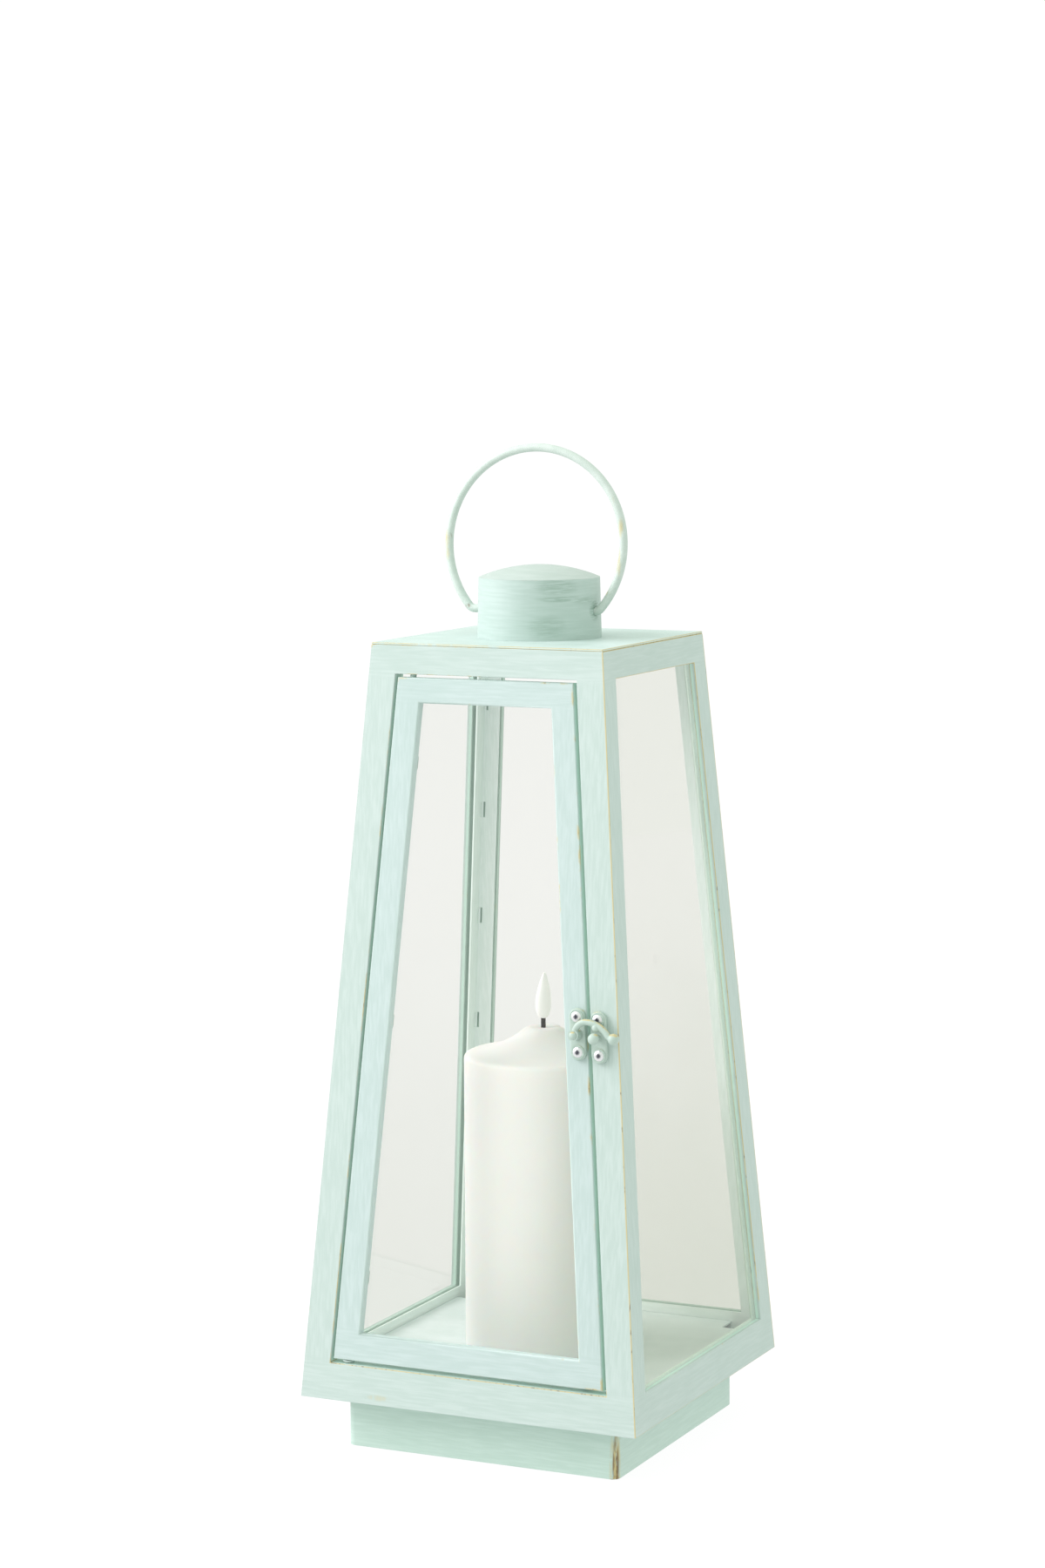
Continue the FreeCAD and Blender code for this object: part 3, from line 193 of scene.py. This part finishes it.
class Graph:
    """One procedural material around a Principled shader; positions are in millimetres."""

    def __init__(self, name):
        self.material = bpy.data.materials.new(name)
        self.material.use_nodes = True
        self.nodes = self.material.node_tree.nodes
        self.links = self.material.node_tree.links
        self.nodes.clear()
        self.out = self.nodes.new("ShaderNodeOutputMaterial")
        self.shader = self.nodes.new("ShaderNodeBsdfPrincipled")
        self.links.new(self.shader.outputs[0], self.out.inputs["Surface"])
        coordinates = self.nodes.new("ShaderNodeTexCoord")
        scale = self.nodes.new("ShaderNodeVectorMath")
        scale.operation = "SCALE"
        scale.inputs["Scale"].default_value = 1 / MM
        self.links.new(coordinates.outputs["Object"], scale.inputs[0])
        self.place = scale.outputs[0]
        split = self.nodes.new("ShaderNodeSeparateXYZ")
        self.links.new(self.place, split.inputs[0])
        self.x, self.y, self.z = (Field(self, socket) for socket in split.outputs)

    def feed(self, socket, value):
        if isinstance(value, Field):
            self.links.new(value.socket, socket)
        elif isinstance(value, bpy.types.NodeSocket):
            self.links.new(value, socket)
        else:
            socket.default_value = value

    def noise(self, size, stretch=(1, 1, 1), detail=3.0, roughness=0.55, seed=0.0):
        """Noise whose features are about `size` mm, times `stretch` along each axis."""
        mapping = self.nodes.new("ShaderNodeMapping")
        self.feed(mapping.inputs["Vector"], self.place)
        mapping.inputs["Location"].default_value = (seed * 13.7, seed * 7.3, seed * 3.9)
        mapping.inputs["Scale"].default_value = [1 / (size * s) for s in stretch]
        node = self.nodes.new("ShaderNodeTexNoise")
        self.feed(node.inputs["Vector"], mapping.outputs[0])
        node.inputs["Scale"].default_value = 1.0
        node.inputs["Detail"].default_value = detail
        node.inputs["Roughness"].default_value = roughness
        return Field(self, node.outputs[0])

    def mix(self, amount, first, second):
        """Colour between two colours, by an amount that varies over the surface."""
        node = self.nodes.new("ShaderNodeMix")
        node.data_type = "RGBA"
        self.feed(node.inputs[0], amount)
        for socket, colour in ((node.inputs[6], first), (node.inputs[7], second)):
            self.feed(socket, (*colour, 1.0) if isinstance(colour, tuple) else colour)
        return node.outputs[2]

    def near(self, point, radius):
        """1 at a point in millimetres, falling to 0 at a radius; radius may be per axis."""
        radii = radius if isinstance(radius, tuple) else (radius,) * 3
        total = None
        for axis, at, reach in zip((self.x, self.y, self.z), point, radii):
            part = ((axis - at) * (1 / reach)).power(2.0)
            total = part if total is None else total + part
        return total.step(1.0, 0.0)

    def bump(self, height, strength, distance):
        node = self.nodes.new("ShaderNodeBump")
        node.inputs["Strength"].default_value = strength
        node.inputs["Distance"].default_value = distance * MM
        self.feed(node.inputs["Height"], height)
        self.links.new(node.outputs[0], self.shader.inputs["Normal"])

    def set(self, **values):
        """Set the shader's own sockets; names use _ for a space."""
        for name, value in values.items():
            self.feed(self.shader.inputs[name.replace("_", " ")], value)
        return self


# ---------------------------------------------------------------- paint
PAINT = (0.458, 0.566, 0.524)
PAINT_PALE = (0.508, 0.610, 0.574)
PAINT_DEEP = (0.370, 0.500, 0.440)
# painted bounce light: a paler, more saturated teal for the turned-in faces, standing in for light
# bounced between the mint walls
RETURNS_BOUNCE_TEAL = (0.500, 0.690, 0.605)
# colour of the painted light that the paints emit
PAINTED_LIGHT_TINT = (0.840, 0.935, 0.890)
OCHRE = (0.545, 0.465, 0.220)
UMBER = (0.170, 0.110, 0.045)
# dark teal for dirt and for painted shade
GRIME_AND_SHADE = (0.205, 0.320, 0.250)

BODY_HALF = 88.0
BODY_LOW = 26.5
BODY_SLOPE = 28.0 / 363.5
FACE_TILT = math.atan(BODY_SLOPE)
OUTWARD = Vector((0, -math.cos(FACE_TILT), math.sin(FACE_TILT)))
RAILS = (46, 374)
DOOR_RAILS = (62, 362)

DOOR_BEVEL = 0.9
SHEET_BEVEL = 0.35
SLIM_BEVEL = 0.3
THIN_BEVEL = 0.15
SHORT_EDGE = 2.5
FACE_BAND = 0.9
EASED_ANGLES = (math.radians(40), math.radians(100))

HORIZONTAL = (14, 14, 1)
UPRIGHT = (1, 1, 16)
EVEN = (4, 4, 4)


def streaks(g, rails, stroke):
    """Soft brush marks: level on the rails, along the uprights between them."""
    level = g.noise(1.1, stroke, detail=4.0, seed=1)
    if not rails:
        return level
    along = g.noise(1.1, UPRIGHT, detail=4.0, seed=2)
    low, high = rails
    upright = g.z.step(low - 3, low + 3) * g.z.step(high + 3, high - 3)
    return level + (along - level) * upright


def half_width(g):
    """Half the width of the tapering body at each height, in millimetres."""
    return g.z * -BODY_SLOPE + (BODY_HALF + BODY_LOW * BODY_SLOPE)


def depth_inside(g):
    """Distance in millimetres behind the tapering outside of the body."""
    return half_width(g) - g.x.size().most(g.y.size())


def fold(g):
    """Where a sheet turns in behind the outside of the body."""
    return depth_inside(g).step(0.9, 1.6)


def door_flank(g):
    """The outer returns of the door, but not those round its window."""
    return fold(g) * (half_width(g) - g.x.size()).step(24, 20)


def fold_painted_light(g):
    """Painted light: a faint emission on the sheets where they turn in behind the outside."""
    return fold(g) * 0.05


def slot_painted_light(g):
    """Painted light: an emission strong on the faces that touch the panes, faint elsewhere."""
    return depth_inside(g).step(5.5, 5.1) * 0.32 + 0.12


def marked(g, marks, grain, ragged):
    """Coverage of placed marks, each a (point, radius, strength), with ragged edges."""
    cover = None
    torn = g.noise(grain, ragged, detail=3.0, seed=5).step(0.34, 0.58)
    for point, radius, strength in marks:
        mark = g.near(point, radius) * torn * strength
        cover = mark if cover is None else cover.most(mark)
    return cover


def corner_strip(g):
    """1 within half a millimetre of the body's slanted corners."""
    return (g.x.size().least(g.y.size()) - half_width(g)).step(-0.60, -0.32)


def paint(name, rails=None, wear=None, ochre=(), umber=(), grime_and_shade=(), tone=(1, 1, 1),
          folded=None, glow=0.0, relief=0.35, stroke=HORIZONTAL, only=None):
    """Brushed mint paint. wear gives how far ochre is rubbed through over the surface, and
    only keeps it to a part; ochre and umber are placed marks, the grime marks are placed dirt and
    painted shade; folded gives where the paint is a more saturated teal, painted bounce light
    between the sheets; glow is painted light, an emission of the paint's own."""
    def toned(colour):
        return tuple(part * share for part, share in zip(colour, tone))

    g = Graph(name)
    brush = streaks(g, rails, stroke)
    cloud = g.noise(34, (1, 1, 1.5), detail=2.0, seed=4)
    colour = g.mix(brush.step(0.36, 0.70), toned(PAINT), toned(PAINT_PALE))
    colour = g.mix(cloud.step(0.48, 0.74) * 0.16, colour, toned(PAINT_DEEP))
    thin = g.noise(0.8, (3, 3, 3) if rails else stroke, detail=3.0, seed=7)
    colour = g.mix(thin.step(0.62, 0.76) * 0.14, colour, toned(PAINT_DEEP))
    # painted bounce light on the returns
    if folded:
        colour = g.mix(folded(g), colour, RETURNS_BOUNCE_TEAL)
    if wear:
        patch = g.noise(2.2, (2, 2, 4), detail=3.0, seed=9)
        along = g.noise(28, detail=2.0, seed=11)
        rubbed = (patch * 0.55 + along * 0.45 + wear(g) * 0.4).step(0.66, 0.78)
        if only:
            rubbed = rubbed * only(g)
        low_fleck = g.noise(1.4, (1, 1, 4), seed=6) + g.z.step(110, 20) * 0.07
        colour = g.mix(rubbed * 0.85, colour, g.mix(low_fleck.step(0.60, 0.70), OCHRE, UMBER))
    for marks, mark_colour, grain, ragged in ((grime_and_shade, GRIME_AND_SHADE, 0.55, HORIZONTAL),
                                        (ochre, OCHRE, 1.4, (1, 1, 5)),
                                        (umber, UMBER, 1.2, (1, 1, 6))):
        if marks:
            colour = g.mix(marked(g, marks, grain, ragged), colour, mark_colour)
    g.set(Base_Color=colour, Roughness=(brush * 0.25 + 0.36), IOR=1.45,
          Emission_Color=(*PAINTED_LIGHT_TINT, 1.0), Emission_Strength=glow(g) if callable(glow) else glow)
    if relief:
        g.bump(brush + g.noise(0.5, detail=2.0, seed=3) * 0.5, relief, 0.05)
    return g.material


def glass(name, low_tint, high_tint):
    """Clear pane: light passes straight through, dimmed more towards the bottom, painted shade for
    the darker floor seen through it.
    """
    g = Graph(name)
    g.nodes.remove(g.shader)
    clear = g.nodes.new("ShaderNodeBsdfTransparent")
    shade_height = g.noise(60, detail=2.0, seed=3) * 60.0 + g.z
    g.feed(clear.inputs["Color"], g.mix(shade_height.step(60, 330), low_tint, high_tint))
    mirror = g.nodes.new("ShaderNodeBsdfGlossy")
    mirror.inputs["Color"].default_value = (0.90, 0.92, 0.90, 1)
    mirror.inputs["Roughness"].default_value = 0.02
    fresnel = g.nodes.new("ShaderNodeFresnel")
    fresnel.inputs["IOR"].default_value = 1.45
    facing = g.nodes.new("ShaderNodeNewGeometry")
    outer = Field(g, fresnel.outputs[0]) * (-Field(g, facing.outputs["Backfacing"]) + 1.0)
    blend = g.nodes.new("ShaderNodeMixShader")
    g.feed(blend.inputs[0], outer)
    g.links.new(clear.outputs[0], blend.inputs[1])
    g.links.new(mirror.outputs[0], blend.inputs[2])
    g.links.new(blend.outputs[0], g.out.inputs["Surface"])
    return g.material


def wax(name):
    g = Graph(name)
    cloud = g.noise(30, detail=2.0, seed=1)
    fine = g.noise(1.2, detail=3.0, seed=2)
    g.set(Base_Color=g.mix(cloud, (0.870, 0.860, 0.845), (0.905, 0.895, 0.890)),
          Roughness=fine * 0.15 + 0.42, Subsurface_Weight=0.55,
          Subsurface_Radius=(6 * MM, 4 * MM, 3 * MM), Subsurface_Scale=1.0, IOR=1.43)
    g.bump(fine + g.noise(9, (1, 1, 2), seed=5) * 2.0, 0.25, 0.12)
    return g.material


SCREW_PIT = 1.5
# painted shade in the drive recess of each screw
PIT_SHADE_COLOUR = (0.035, 0.035, 0.060)


def plain(name, first, second, grain, roughness, metallic=0.0, bump=0.2, dark=(), **extra):
    """Two close colours mixed by grain, with grain in the roughness and surface too; dark is
    a list of points round which the surface is almost black, painted shade of a screw's drive
    recess."""
    g = Graph(name)
    field = g.noise(grain, detail=3.0, seed=2)
    colour = g.mix(field.step(0.3, 0.7), first, second)
    for point in dark:
        colour = g.mix(g.near(point, SCREW_PIT) * 0.95, colour, PIT_SHADE_COLOUR)
    g.set(Base_Color=colour, Roughness=field * 0.2 + (roughness - 0.1), Metallic=metallic,
          **extra)
    g.bump(field, bump, 0.04)
    return g.material


def crowns(node):
    """Middle of the crown of each of a node's two screws, in millimetres."""
    points = [vertex.co / MM for vertex in nodes[node].data.vertices]
    middle = sum(point.z for point in points) / len(points)
    found = []
    for upper in (False, True):
        group = [point for point in points if (point.z > middle) == upper]
        reach = max(point.dot(OUTWARD) for point in group)
        crown = [point for point in group if point.dot(OUTWARD) > reach - 0.4]
        found.append(tuple(sum(crown, Vector()) / len(crown)))
    return found


# ---------------------------------------------------------------- pieces
def show(name, mesh, body, materials, replaces):
    """A finished mesh in the row frame that stands for CAD nodes."""
    piece = bpy.data.objects.new(name, mesh)
    scene.collection.objects.link(piece)
    for material in materials:
        mesh.materials.append(material)
    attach(piece, body)
    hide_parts(replaces)
    return piece


def at_face(vertex):
    """True for a vertex on or just behind the tapering outside of the body."""
    x, y, z = vertex.co / MM
    half = BODY_HALF - (z - BODY_LOW) * BODY_SLOPE
    return half - max(abs(x), abs(y)) < FACE_BAND


def softened(node, width, face_material, edge_material, body="housing", outer_only=False,
             shortest=0.0):
    """A CAD sheet with its edges eased, apart from those under a shortest length in mm; the
    eased strips take the edge material."""
    bm = bmesh.new()
    bm.from_mesh(nodes[node].data)
    bmesh.ops.remove_doubles(bm, verts=bm.verts, dist=1e-6)
    bmesh.ops.dissolve_limit(bm, angle_limit=math.radians(0.5), verts=bm.verts,
                             edges=bm.edges)
    low, high = EASED_ANGLES
    edges = [edge for edge in bm.edges
             if len(edge.link_faces) == 2 and low < edge.calc_face_angle(0.0) < high
             and edge.calc_length() > shortest * MM]
    if outer_only:
        edges = [edge for edge in edges if all(at_face(vertex) for vertex in edge.verts)]
    for face in bm.faces:
        face.material_index = 0
    bmesh.ops.bevel(bm, geom=edges, offset=width * MM, offset_type="OFFSET", segments=2,
                    profile=0.5, affect="EDGES", clamp_overlap=True, material=1)
    for face in bm.faces:
        face.smooth = True
    mesh = bpy.data.meshes.new(node + "_sheet")
    bm.to_mesh(mesh)
    bm.free()
    mesh.set_sharp_from_angle(angle=math.radians(30))
    piece = show(node + "_sheet", mesh, body,
                 [face_material, edge_material], node)
    normals = piece.modifiers.new("even_normals", "WEIGHTED_NORMAL")
    normals.keep_sharp = True
    return piece


def lathe(profile, steps, centre, wobble=None):
    """Turned mesh from (radius, height) pairs in mm around a vertical axis in metres."""
    bm = bmesh.new()
    rings = []
    for radius, height in profile:
        ring = []
        for step in range(steps):
            angle = 2 * math.pi * step / steps
            r, dx, dz = radius, 0.0, 0.0
            if wobble:
                r, dx, dz = wobble(radius, height, angle)
            ring.append(bm.verts.new(Vector(((r * math.cos(angle) + dx) * MM,
                                             r * math.sin(angle) * MM,
                                             (height + dz) * MM)) + centre))
        rings.append(ring)
    for lower, upper in zip(rings, rings[1:]):
        for step in range(steps):
            after = (step + 1) % steps
            bm.faces.new((lower[step], lower[after], upper[after], upper[step]))
    bm.faces.new(reversed(rings[0]))
    bm.faces.new(rings[-1])
    for face in bm.faces:
        face.smooth = True
    mesh = bpy.data.meshes.new("turned")
    bm.to_mesh(mesh)
    bm.free()
    return mesh


def repaint(node, material):
    """Give a CAD node a material in place of its own."""
    data = nodes[node].data
    data.materials.clear()
    data.materials.append(material)


# ---------------------------------------------------------------- candle
MOUND = 13.4
BRAID_RINGS = 120


def footing(node):
    """Middle of a node's underside in metres, and its half width and height in mm."""
    low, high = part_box(node)
    centre = Vector(((low.x + high.x) / 2, (low.y + high.y) / 2, low.z))
    return centre, (high.x - low.x) / 2 / MM, (high.z - low.z) / MM


def make_wax(material):
    centre, radius, top = footing("candle_wax")
    shoulder = top - MOUND
    profile = [(radius - 1.6, 0.0), (radius - 0.5, 0.35), (radius - 0.1, 1.4), (radius, 4.0)]
    profile += [(radius, shoulder * part) for part in (0.15, 0.35, 0.55, 0.75, 0.9)]
    profile += [(radius, shoulder - 2.0), (radius - 0.25, shoulder - 0.9),
                (radius - 0.9, shoulder - 0.15), (radius - 2.0, shoulder + 0.35)]
    for part in (0.90, 0.80, 0.70, 0.60, 0.50, 0.42, 0.35, 0.29, 0.25, 0.21):
        climb = (1 - (part - 0.21) / 0.79) ** 1.9
        profile.append((radius * part, shoulder + 0.35 + (MOUND - 0.4) * climb))
    profile += [(radius * 0.17, top - 0.02), (radius * 0.10, top - 0.1), (1.35, top - 0.5)]

    def uneven(r, height, angle):
        wave = 0.10 * math.sin(2 * angle + 0.6) * math.sin(height / 31.0)
        sag = 0.18 * math.sin(3 * angle + 1.1) if height > shoulder + 1 else 0.0
        return r - abs(wave), 0.0, -abs(sag)

    mesh = lathe(profile, 96, centre, uneven)
    show("candle_shell", mesh, "candle", [material], "candle_wax")


def make_bulb(material):
    centre, wide, tall = footing("flame_bulb")
    outline = ((0.00, 0.30), (0.015, 0.50), (0.05, 0.68), (0.12, 0.84), (0.22, 0.96),
               (0.31, 1.00), (0.42, 0.985), (0.54, 0.90), (0.66, 0.75), (0.78, 0.57),
               (0.88, 0.40), (0.95, 0.25), (0.985, 0.13), (1.0, 0.04))
    profile = [(wide * share, tall * part) for part, share in outline]

    def lean(r, height, angle):
        shift = 0.7 * (height / tall) ** 2
        return r, min(shift, max(0.0, wide - r)), 0.0

    mesh = lathe(profile, 40, centre, lean)
    show("flame_shape", mesh, "candle", [material], "flame_bulb")


def make_wick(material):
    centre, _, tall = footing("wick")
    profile = [(1.12, tall * step / BRAID_RINGS) for step in range(BRAID_RINGS + 1)]

    def braid(r, height, angle):
        weave = math.sin(4 * angle + height * 2.6) * math.sin(4 * angle - height * 2.6)
        return r + 0.07 * weave, 0.0, 0.0

    mesh = lathe(profile, 24, centre, braid)
    show("wick_braid", mesh, "candle", [material], "wick")


# ---------------------------------------------------------------- floor
FLOOR_HALF = 4.0


def add_floor():
    mesh = bpy.data.meshes.new("floor")
    mesh.from_pydata([(-FLOOR_HALF, -FLOOR_HALF, 0), (FLOOR_HALF, -FLOOR_HALF, 0),
                      (FLOOR_HALF, FLOOR_HALF, 0), (-FLOOR_HALF, FLOOR_HALF, 0)],
                     [], [(0, 1, 2, 3)])
    floor = bpy.data.objects.new("floor", mesh)
    scene.collection.objects.link(floor)
    g = Graph("pale_floor")
    grain = g.noise(3, detail=2.0)
    g.set(Base_Color=g.mix(grain, (0.075, 0.075, 0.075), (0.085, 0.085, 0.085)), Roughness=0.9,
          Specular_IOR_Level=0.1, Emission_Color=(1.0, 1.0, 1.0, 1.0), Emission_Strength=0.93)
    mesh.materials.append(g.material)


# ---------------------------------------------------------------- where the paint is rubbed
def corner_wear(g):
    """Sheet edges: rubbed most on the corners right of the door and the lower rims."""
    right = g.x.step(10, 40) * 0.80 + 0.18
    foot = g.z.step(34, 24)
    rim = g.z.step(386, 389) * 0.75
    return right.most(foot * 0.70).most(rim)


def side_wear(g):
    """Side sheets: as the corners, but the lower rim of the opening is hardly rubbed."""
    return corner_wear(g) * (g.z.step(46, 58).most(g.z.step(34, 28)) * 0.75 + 0.25)


def opening_wear(g):
    """Front frame: the lower and left rims of the opening are rubbed too."""
    sill = g.z.step(50, 44)
    side = g.x.step(10, -10) * 0.36 + 0.12
    return side.most(sill * 0.90) * g.z.step(32, 40)


def door_wear(g):
    """The door's edge on the latch side."""
    return g.x.step(10, 30) * 0.35


def upper_wear(g):
    """Castings: rubbed where the surface faces up."""
    coordinates = g.nodes.new("ShaderNodeTexCoord")
    split = g.nodes.new("ShaderNodeSeparateXYZ")
    g.links.new(coordinates.outputs["Normal"], split.inputs[0])
    return Field(g, split.outputs[2]).step(0.30, 0.80) * 0.70


def faint_wear(g):
    """A little more to the right."""
    return g.x.step(-200, 200) * 0.25


# ---------------------------------------------------------------- the whole
add_camera()
add_world()
add_softbox("key", -62, 30, 1.9, 1.3, 1.3, 35, (1.0, 0.91, 1.0))
add_softbox("top", 40, 75, 1.7, 1.6, 1.6, 4, (1.0, 1.0, 1.0))
add_cabin_light()

body_paint = paint("mint_body", rails=RAILS, folded=fold, glow=fold_painted_light, wear=corner_wear,
                   only=corner_strip)
front_paint = paint("mint_front", rails=RAILS, folded=fold, glow=fold_painted_light, wear=corner_wear,
                    only=corner_strip, ochre=(((-46.3, -87.7, 30.2), (7, 3, 1.8), 0.35),))
side_edge = paint("mint_side_edge", rails=RAILS, wear=side_wear)
front_edge = paint("mint_front_edge", rails=RAILS, wear=opening_wear)
level_paint = paint("mint_level")
level_edge = paint("mint_level_edge", wear=corner_wear)
DOOR_OCHRE = (((-43.5, -61.0, 372.6), (5, 3, 1.5), 0.80),)
door_paint = paint("mint_door", rails=DOOR_RAILS, folded=door_flank, glow=fold_painted_light,
                   tone=(0.99, 1.00, 1.03))
# painted highlight: the eased edges of the door take a lighter copy of the paint
door_edge_highlight = paint("mint_door_edge", rails=DOOR_RAILS, tone=(1.05, 1.06, 1.08), wear=door_wear,
                  ochre=DOOR_OCHRE)
# painted light: the retainers inside take a much lighter copy of the paint, so that the inside
# reads bright
inner_lightened_paint = paint("mint_inner", rails=RAILS, tone=(1.60, 1.42, 1.50), glow=slot_painted_light)
inner_side_lightened_paint = paint("mint_inner_side", rails=RAILS, tone=(1.40, 1.30, 1.32),
                         glow=slot_painted_light)
# painted light: the floor plate inside takes a lighter copy of the paint and a faint emission
floor_plate_lightened_paint = paint("mint_floor", tone=(1.52, 1.38, 1.48), glow=0.03)
# painted light and shade: the top plate takes a lighter copy of the paint, the chimney cap a darker
# one
top_lightened_paint = paint("mint_top", tone=(1.06, 1.08, 1.09))
cap_darkened_paint = paint("mint_cap", tone=(0.92, 0.90, 0.89))
PLINTH_CORNER = (((70.3, -70.3, 2), (3.6, 3.6, 30), 1.0), ((70.3, -70.3, 6), (2.2, 2.2, 20), 1.0))
# painted light: the plinth takes a lighter, greener copy of the paint, standing in for light under
# the body's overhang
plinth_lightened_paint = paint("mint_plinth", tone=(1.04, 1.11, 1.06), umber=PLINTH_CORNER[1:],
                     ochre=PLINTH_CORNER[:1])
plinth_lightened_edge = paint("mint_plinth_edge", tone=(1.04, 1.10, 1.05), umber=PLINTH_CORNER)

softened("front_frame", SHEET_BEVEL, front_paint, front_edge, shortest=SHORT_EDGE)
softened("door_frame", DOOR_BEVEL, door_paint, door_edge_highlight, body="door", outer_only=True,
         shortest=SHORT_EDGE)
for node, sheet_paint, edge_paint, width in (
        ("right_panel", body_paint, side_edge, SHEET_BEVEL),
        ("back_panel", body_paint, side_edge, SHEET_BEVEL),
        ("left_panel", body_paint, side_edge, SHEET_BEVEL),
        ("plinth", plinth_lightened_paint, plinth_lightened_edge, SHEET_BEVEL),
        ("bottom_plate", level_paint, level_edge, SHEET_BEVEL),
        ("floor_plate", floor_plate_lightened_paint, floor_plate_lightened_paint, SHEET_BEVEL),
        ("top_plate", top_lightened_paint, level_edge, SLIM_BEVEL),
        ("right_retainer", inner_side_lightened_paint, inner_side_lightened_paint, THIN_BEVEL),
        ("back_retainer", inner_lightened_paint, inner_lightened_paint, THIN_BEVEL),
        ("left_retainer", inner_side_lightened_paint, inner_side_lightened_paint, THIN_BEVEL)):
    softened(node, width, sheet_paint, edge_paint)

# dark teal marks on the right side and foot of the chimney: dirt streaks and painted shade on the
# side turned from the light
CHIMNEY_GRIME_AND_SHADE = (((19.7, -22.1, 415.5), (14, 14, 5.0), 0.45),
                 ((21.3, -20.6, 409.8), (16, 14, 1.8), 0.55),
                 ((28.0, -9.0, 408.7), (9, 12, 2.0), 0.50),
                 ((29.6, -0.8, 403.5), (5, 6, 6), 0.90),
                 ((15.6, -25.2, 396.7), (12, 10, 7), 0.35))
CHIMNEY_OCHRE = (((-8.4, -28.4, 420.4), (7, 4, 1.1), 0.75),
                 ((24.2, -17.0, 420.0), (6, 6, 1.3), 0.85))
chimney_paint = paint("mint_chimney", tone=(0.93, 0.96, 0.95), grime_and_shade=CHIMNEY_GRIME_AND_SHADE,
                      ochre=CHIMNEY_OCHRE)
chimney_edge = paint("mint_chimney_edge", wear=faint_wear, grime_and_shade=CHIMNEY_GRIME_AND_SHADE,
                     ochre=CHIMNEY_OCHRE)
softened("chimney", SLIM_BEVEL, chimney_paint, chimney_edge)
softened("chimney_cap", SLIM_BEVEL, cap_darkened_paint, chimney_edge)

RING_OCHRE = (((-50.2, -1.7, 438.0), (3.2, 3, 6), 0.95), ((-49.0, -1.5, 432.0), (2.0, 3, 8), 0.6),
              ((-14.0, -3.7, 480.0), (9, 4, 2.6), 0.5), ((24.5, -3.4, 472.0), (8, 4, 3.2), 0.95),
              ((38.5, -2.6, 457.0), (2.4, 4, 7), 0.8), ((43.0, -1.9, 443.0), (2.2, 4, 7), 0.8),
              ((41.8, -1.2, 427.0), (2.0, 4, 9), 0.6), ((36.3, -0.4, 412.2), (2.0, 3, 2.4), 0.9))
RING_UMBER = (((-22.5, -3.4, 474.2), (5, 4, 1.8), 0.85), ((-37.6, -0.1, 404.1), (2.0, 4, 1.6), 0.9),
              ((-47.4, -1.6, 437.5), (1.5, 3, 3.0), 0.7), ((26.5, -3.3, 470.4), (3.0, 4, 1.2), 0.6))
wire_paint = paint("mint_wire", ochre=RING_OCHRE, umber=RING_UMBER, relief=0.0,
                   stroke=EVEN, tone=(1.10, 1.05, 1.03))
# painted shade: dark teal rings on the castings round each screw head
SCREW_SHADE_RINGS = [(point, 4.2, 0.8) for node in ("latch_screws", "catch_screws")
               for point in crowns(node)]
cast_paint = paint("mint_cast", wear=upper_wear, tone=(0.93, 0.95, 0.91), grime_and_shade=SCREW_SHADE_RINGS,
                   stroke=EVEN)
for node in ("door_stop", "door_glass_tabs", "lower_hinge_pin", "upper_hinge_pin"):
    repaint(node, level_paint)
for node in ("latch_plate", "catch_plate", "catch_stud", "latch_rivet", "latch_hook"):
    repaint(node, cast_paint)
repaint("handle_ring", wire_paint)

front_pane = glass("clear_pane", (0.915, 0.920, 0.905), (0.955, 0.955, 0.948))
# the right pane's darker tints are painted shade for the floor in shadow seen through it
shaded_side_pane = glass("clear_side_pane", (0.830, 0.845, 0.800), (0.918, 0.920, 0.900))
rear_pane = glass("clear_rear_pane", (0.945, 0.950, 0.935), (0.968, 0.968, 0.960))
repaint("door_glass", front_pane)
repaint("right_glass", shaded_side_pane)
for node in ("back_glass", "left_glass"):
    repaint(node, rear_pane)

for node in ("latch_screws", "catch_screws"):
    repaint(node, plain("zinc_" + node, (0.78, 0.79, 0.79), (0.66, 0.67, 0.68), 0.5, 0.35,
                        metallic=0.85, dark=crowns(node)))
white_plastic = plain("white_plastic", (0.80, 0.80, 0.77), (0.76, 0.76, 0.72), 0.6, 0.45)
dark_plastic = plain("dark_plastic", (0.030, 0.030, 0.032), (0.050, 0.050, 0.052), 0.6, 0.5)
jacket = plain("cell_jacket", (0.050, 0.060, 0.080), (0.080, 0.090, 0.110), 3.0, 0.35)
nickel = plain("nickel", (0.66, 0.64, 0.60), (0.58, 0.56, 0.52), 0.8, 0.35, metallic=1.0)
laminate = plain("laminate", (0.020, 0.110, 0.045), (0.030, 0.150, 0.065), 1.2, 0.35)
epoxy = plain("epoxy", (0.90, 0.84, 0.66), (0.86, 0.78, 0.58), 0.6, 0.25)
for node, material in (("candle_core", white_plastic), ("battery_cover", white_plastic),
                       ("batteries", jacket), ("battery_contacts", nickel),
                       ("circuit_board", laminate), ("led", epoxy),
                       ("switch_slider", dark_plastic)):
    repaint(node, material)

frosted = plain("frosted", (0.92, 0.92, 0.90), (0.88, 0.88, 0.86), 1.0, 0.4,
                Subsurface_Weight=0.4, Subsurface_Radius=(2 * MM, 2 * MM, 2 * MM),
                Emission_Color=(1.0, 1.0, 0.97, 1.0), Emission_Strength=0.10)
char = plain("char", (0.030, 0.027, 0.030), (0.060, 0.052, 0.050), 0.4, 0.8)
make_wax(wax("ivory"))
make_bulb(frosted)
make_wick(char)
add_floor()
scene.view_settings.view_transform = "Standard"
scene.view_settings.look = "None"
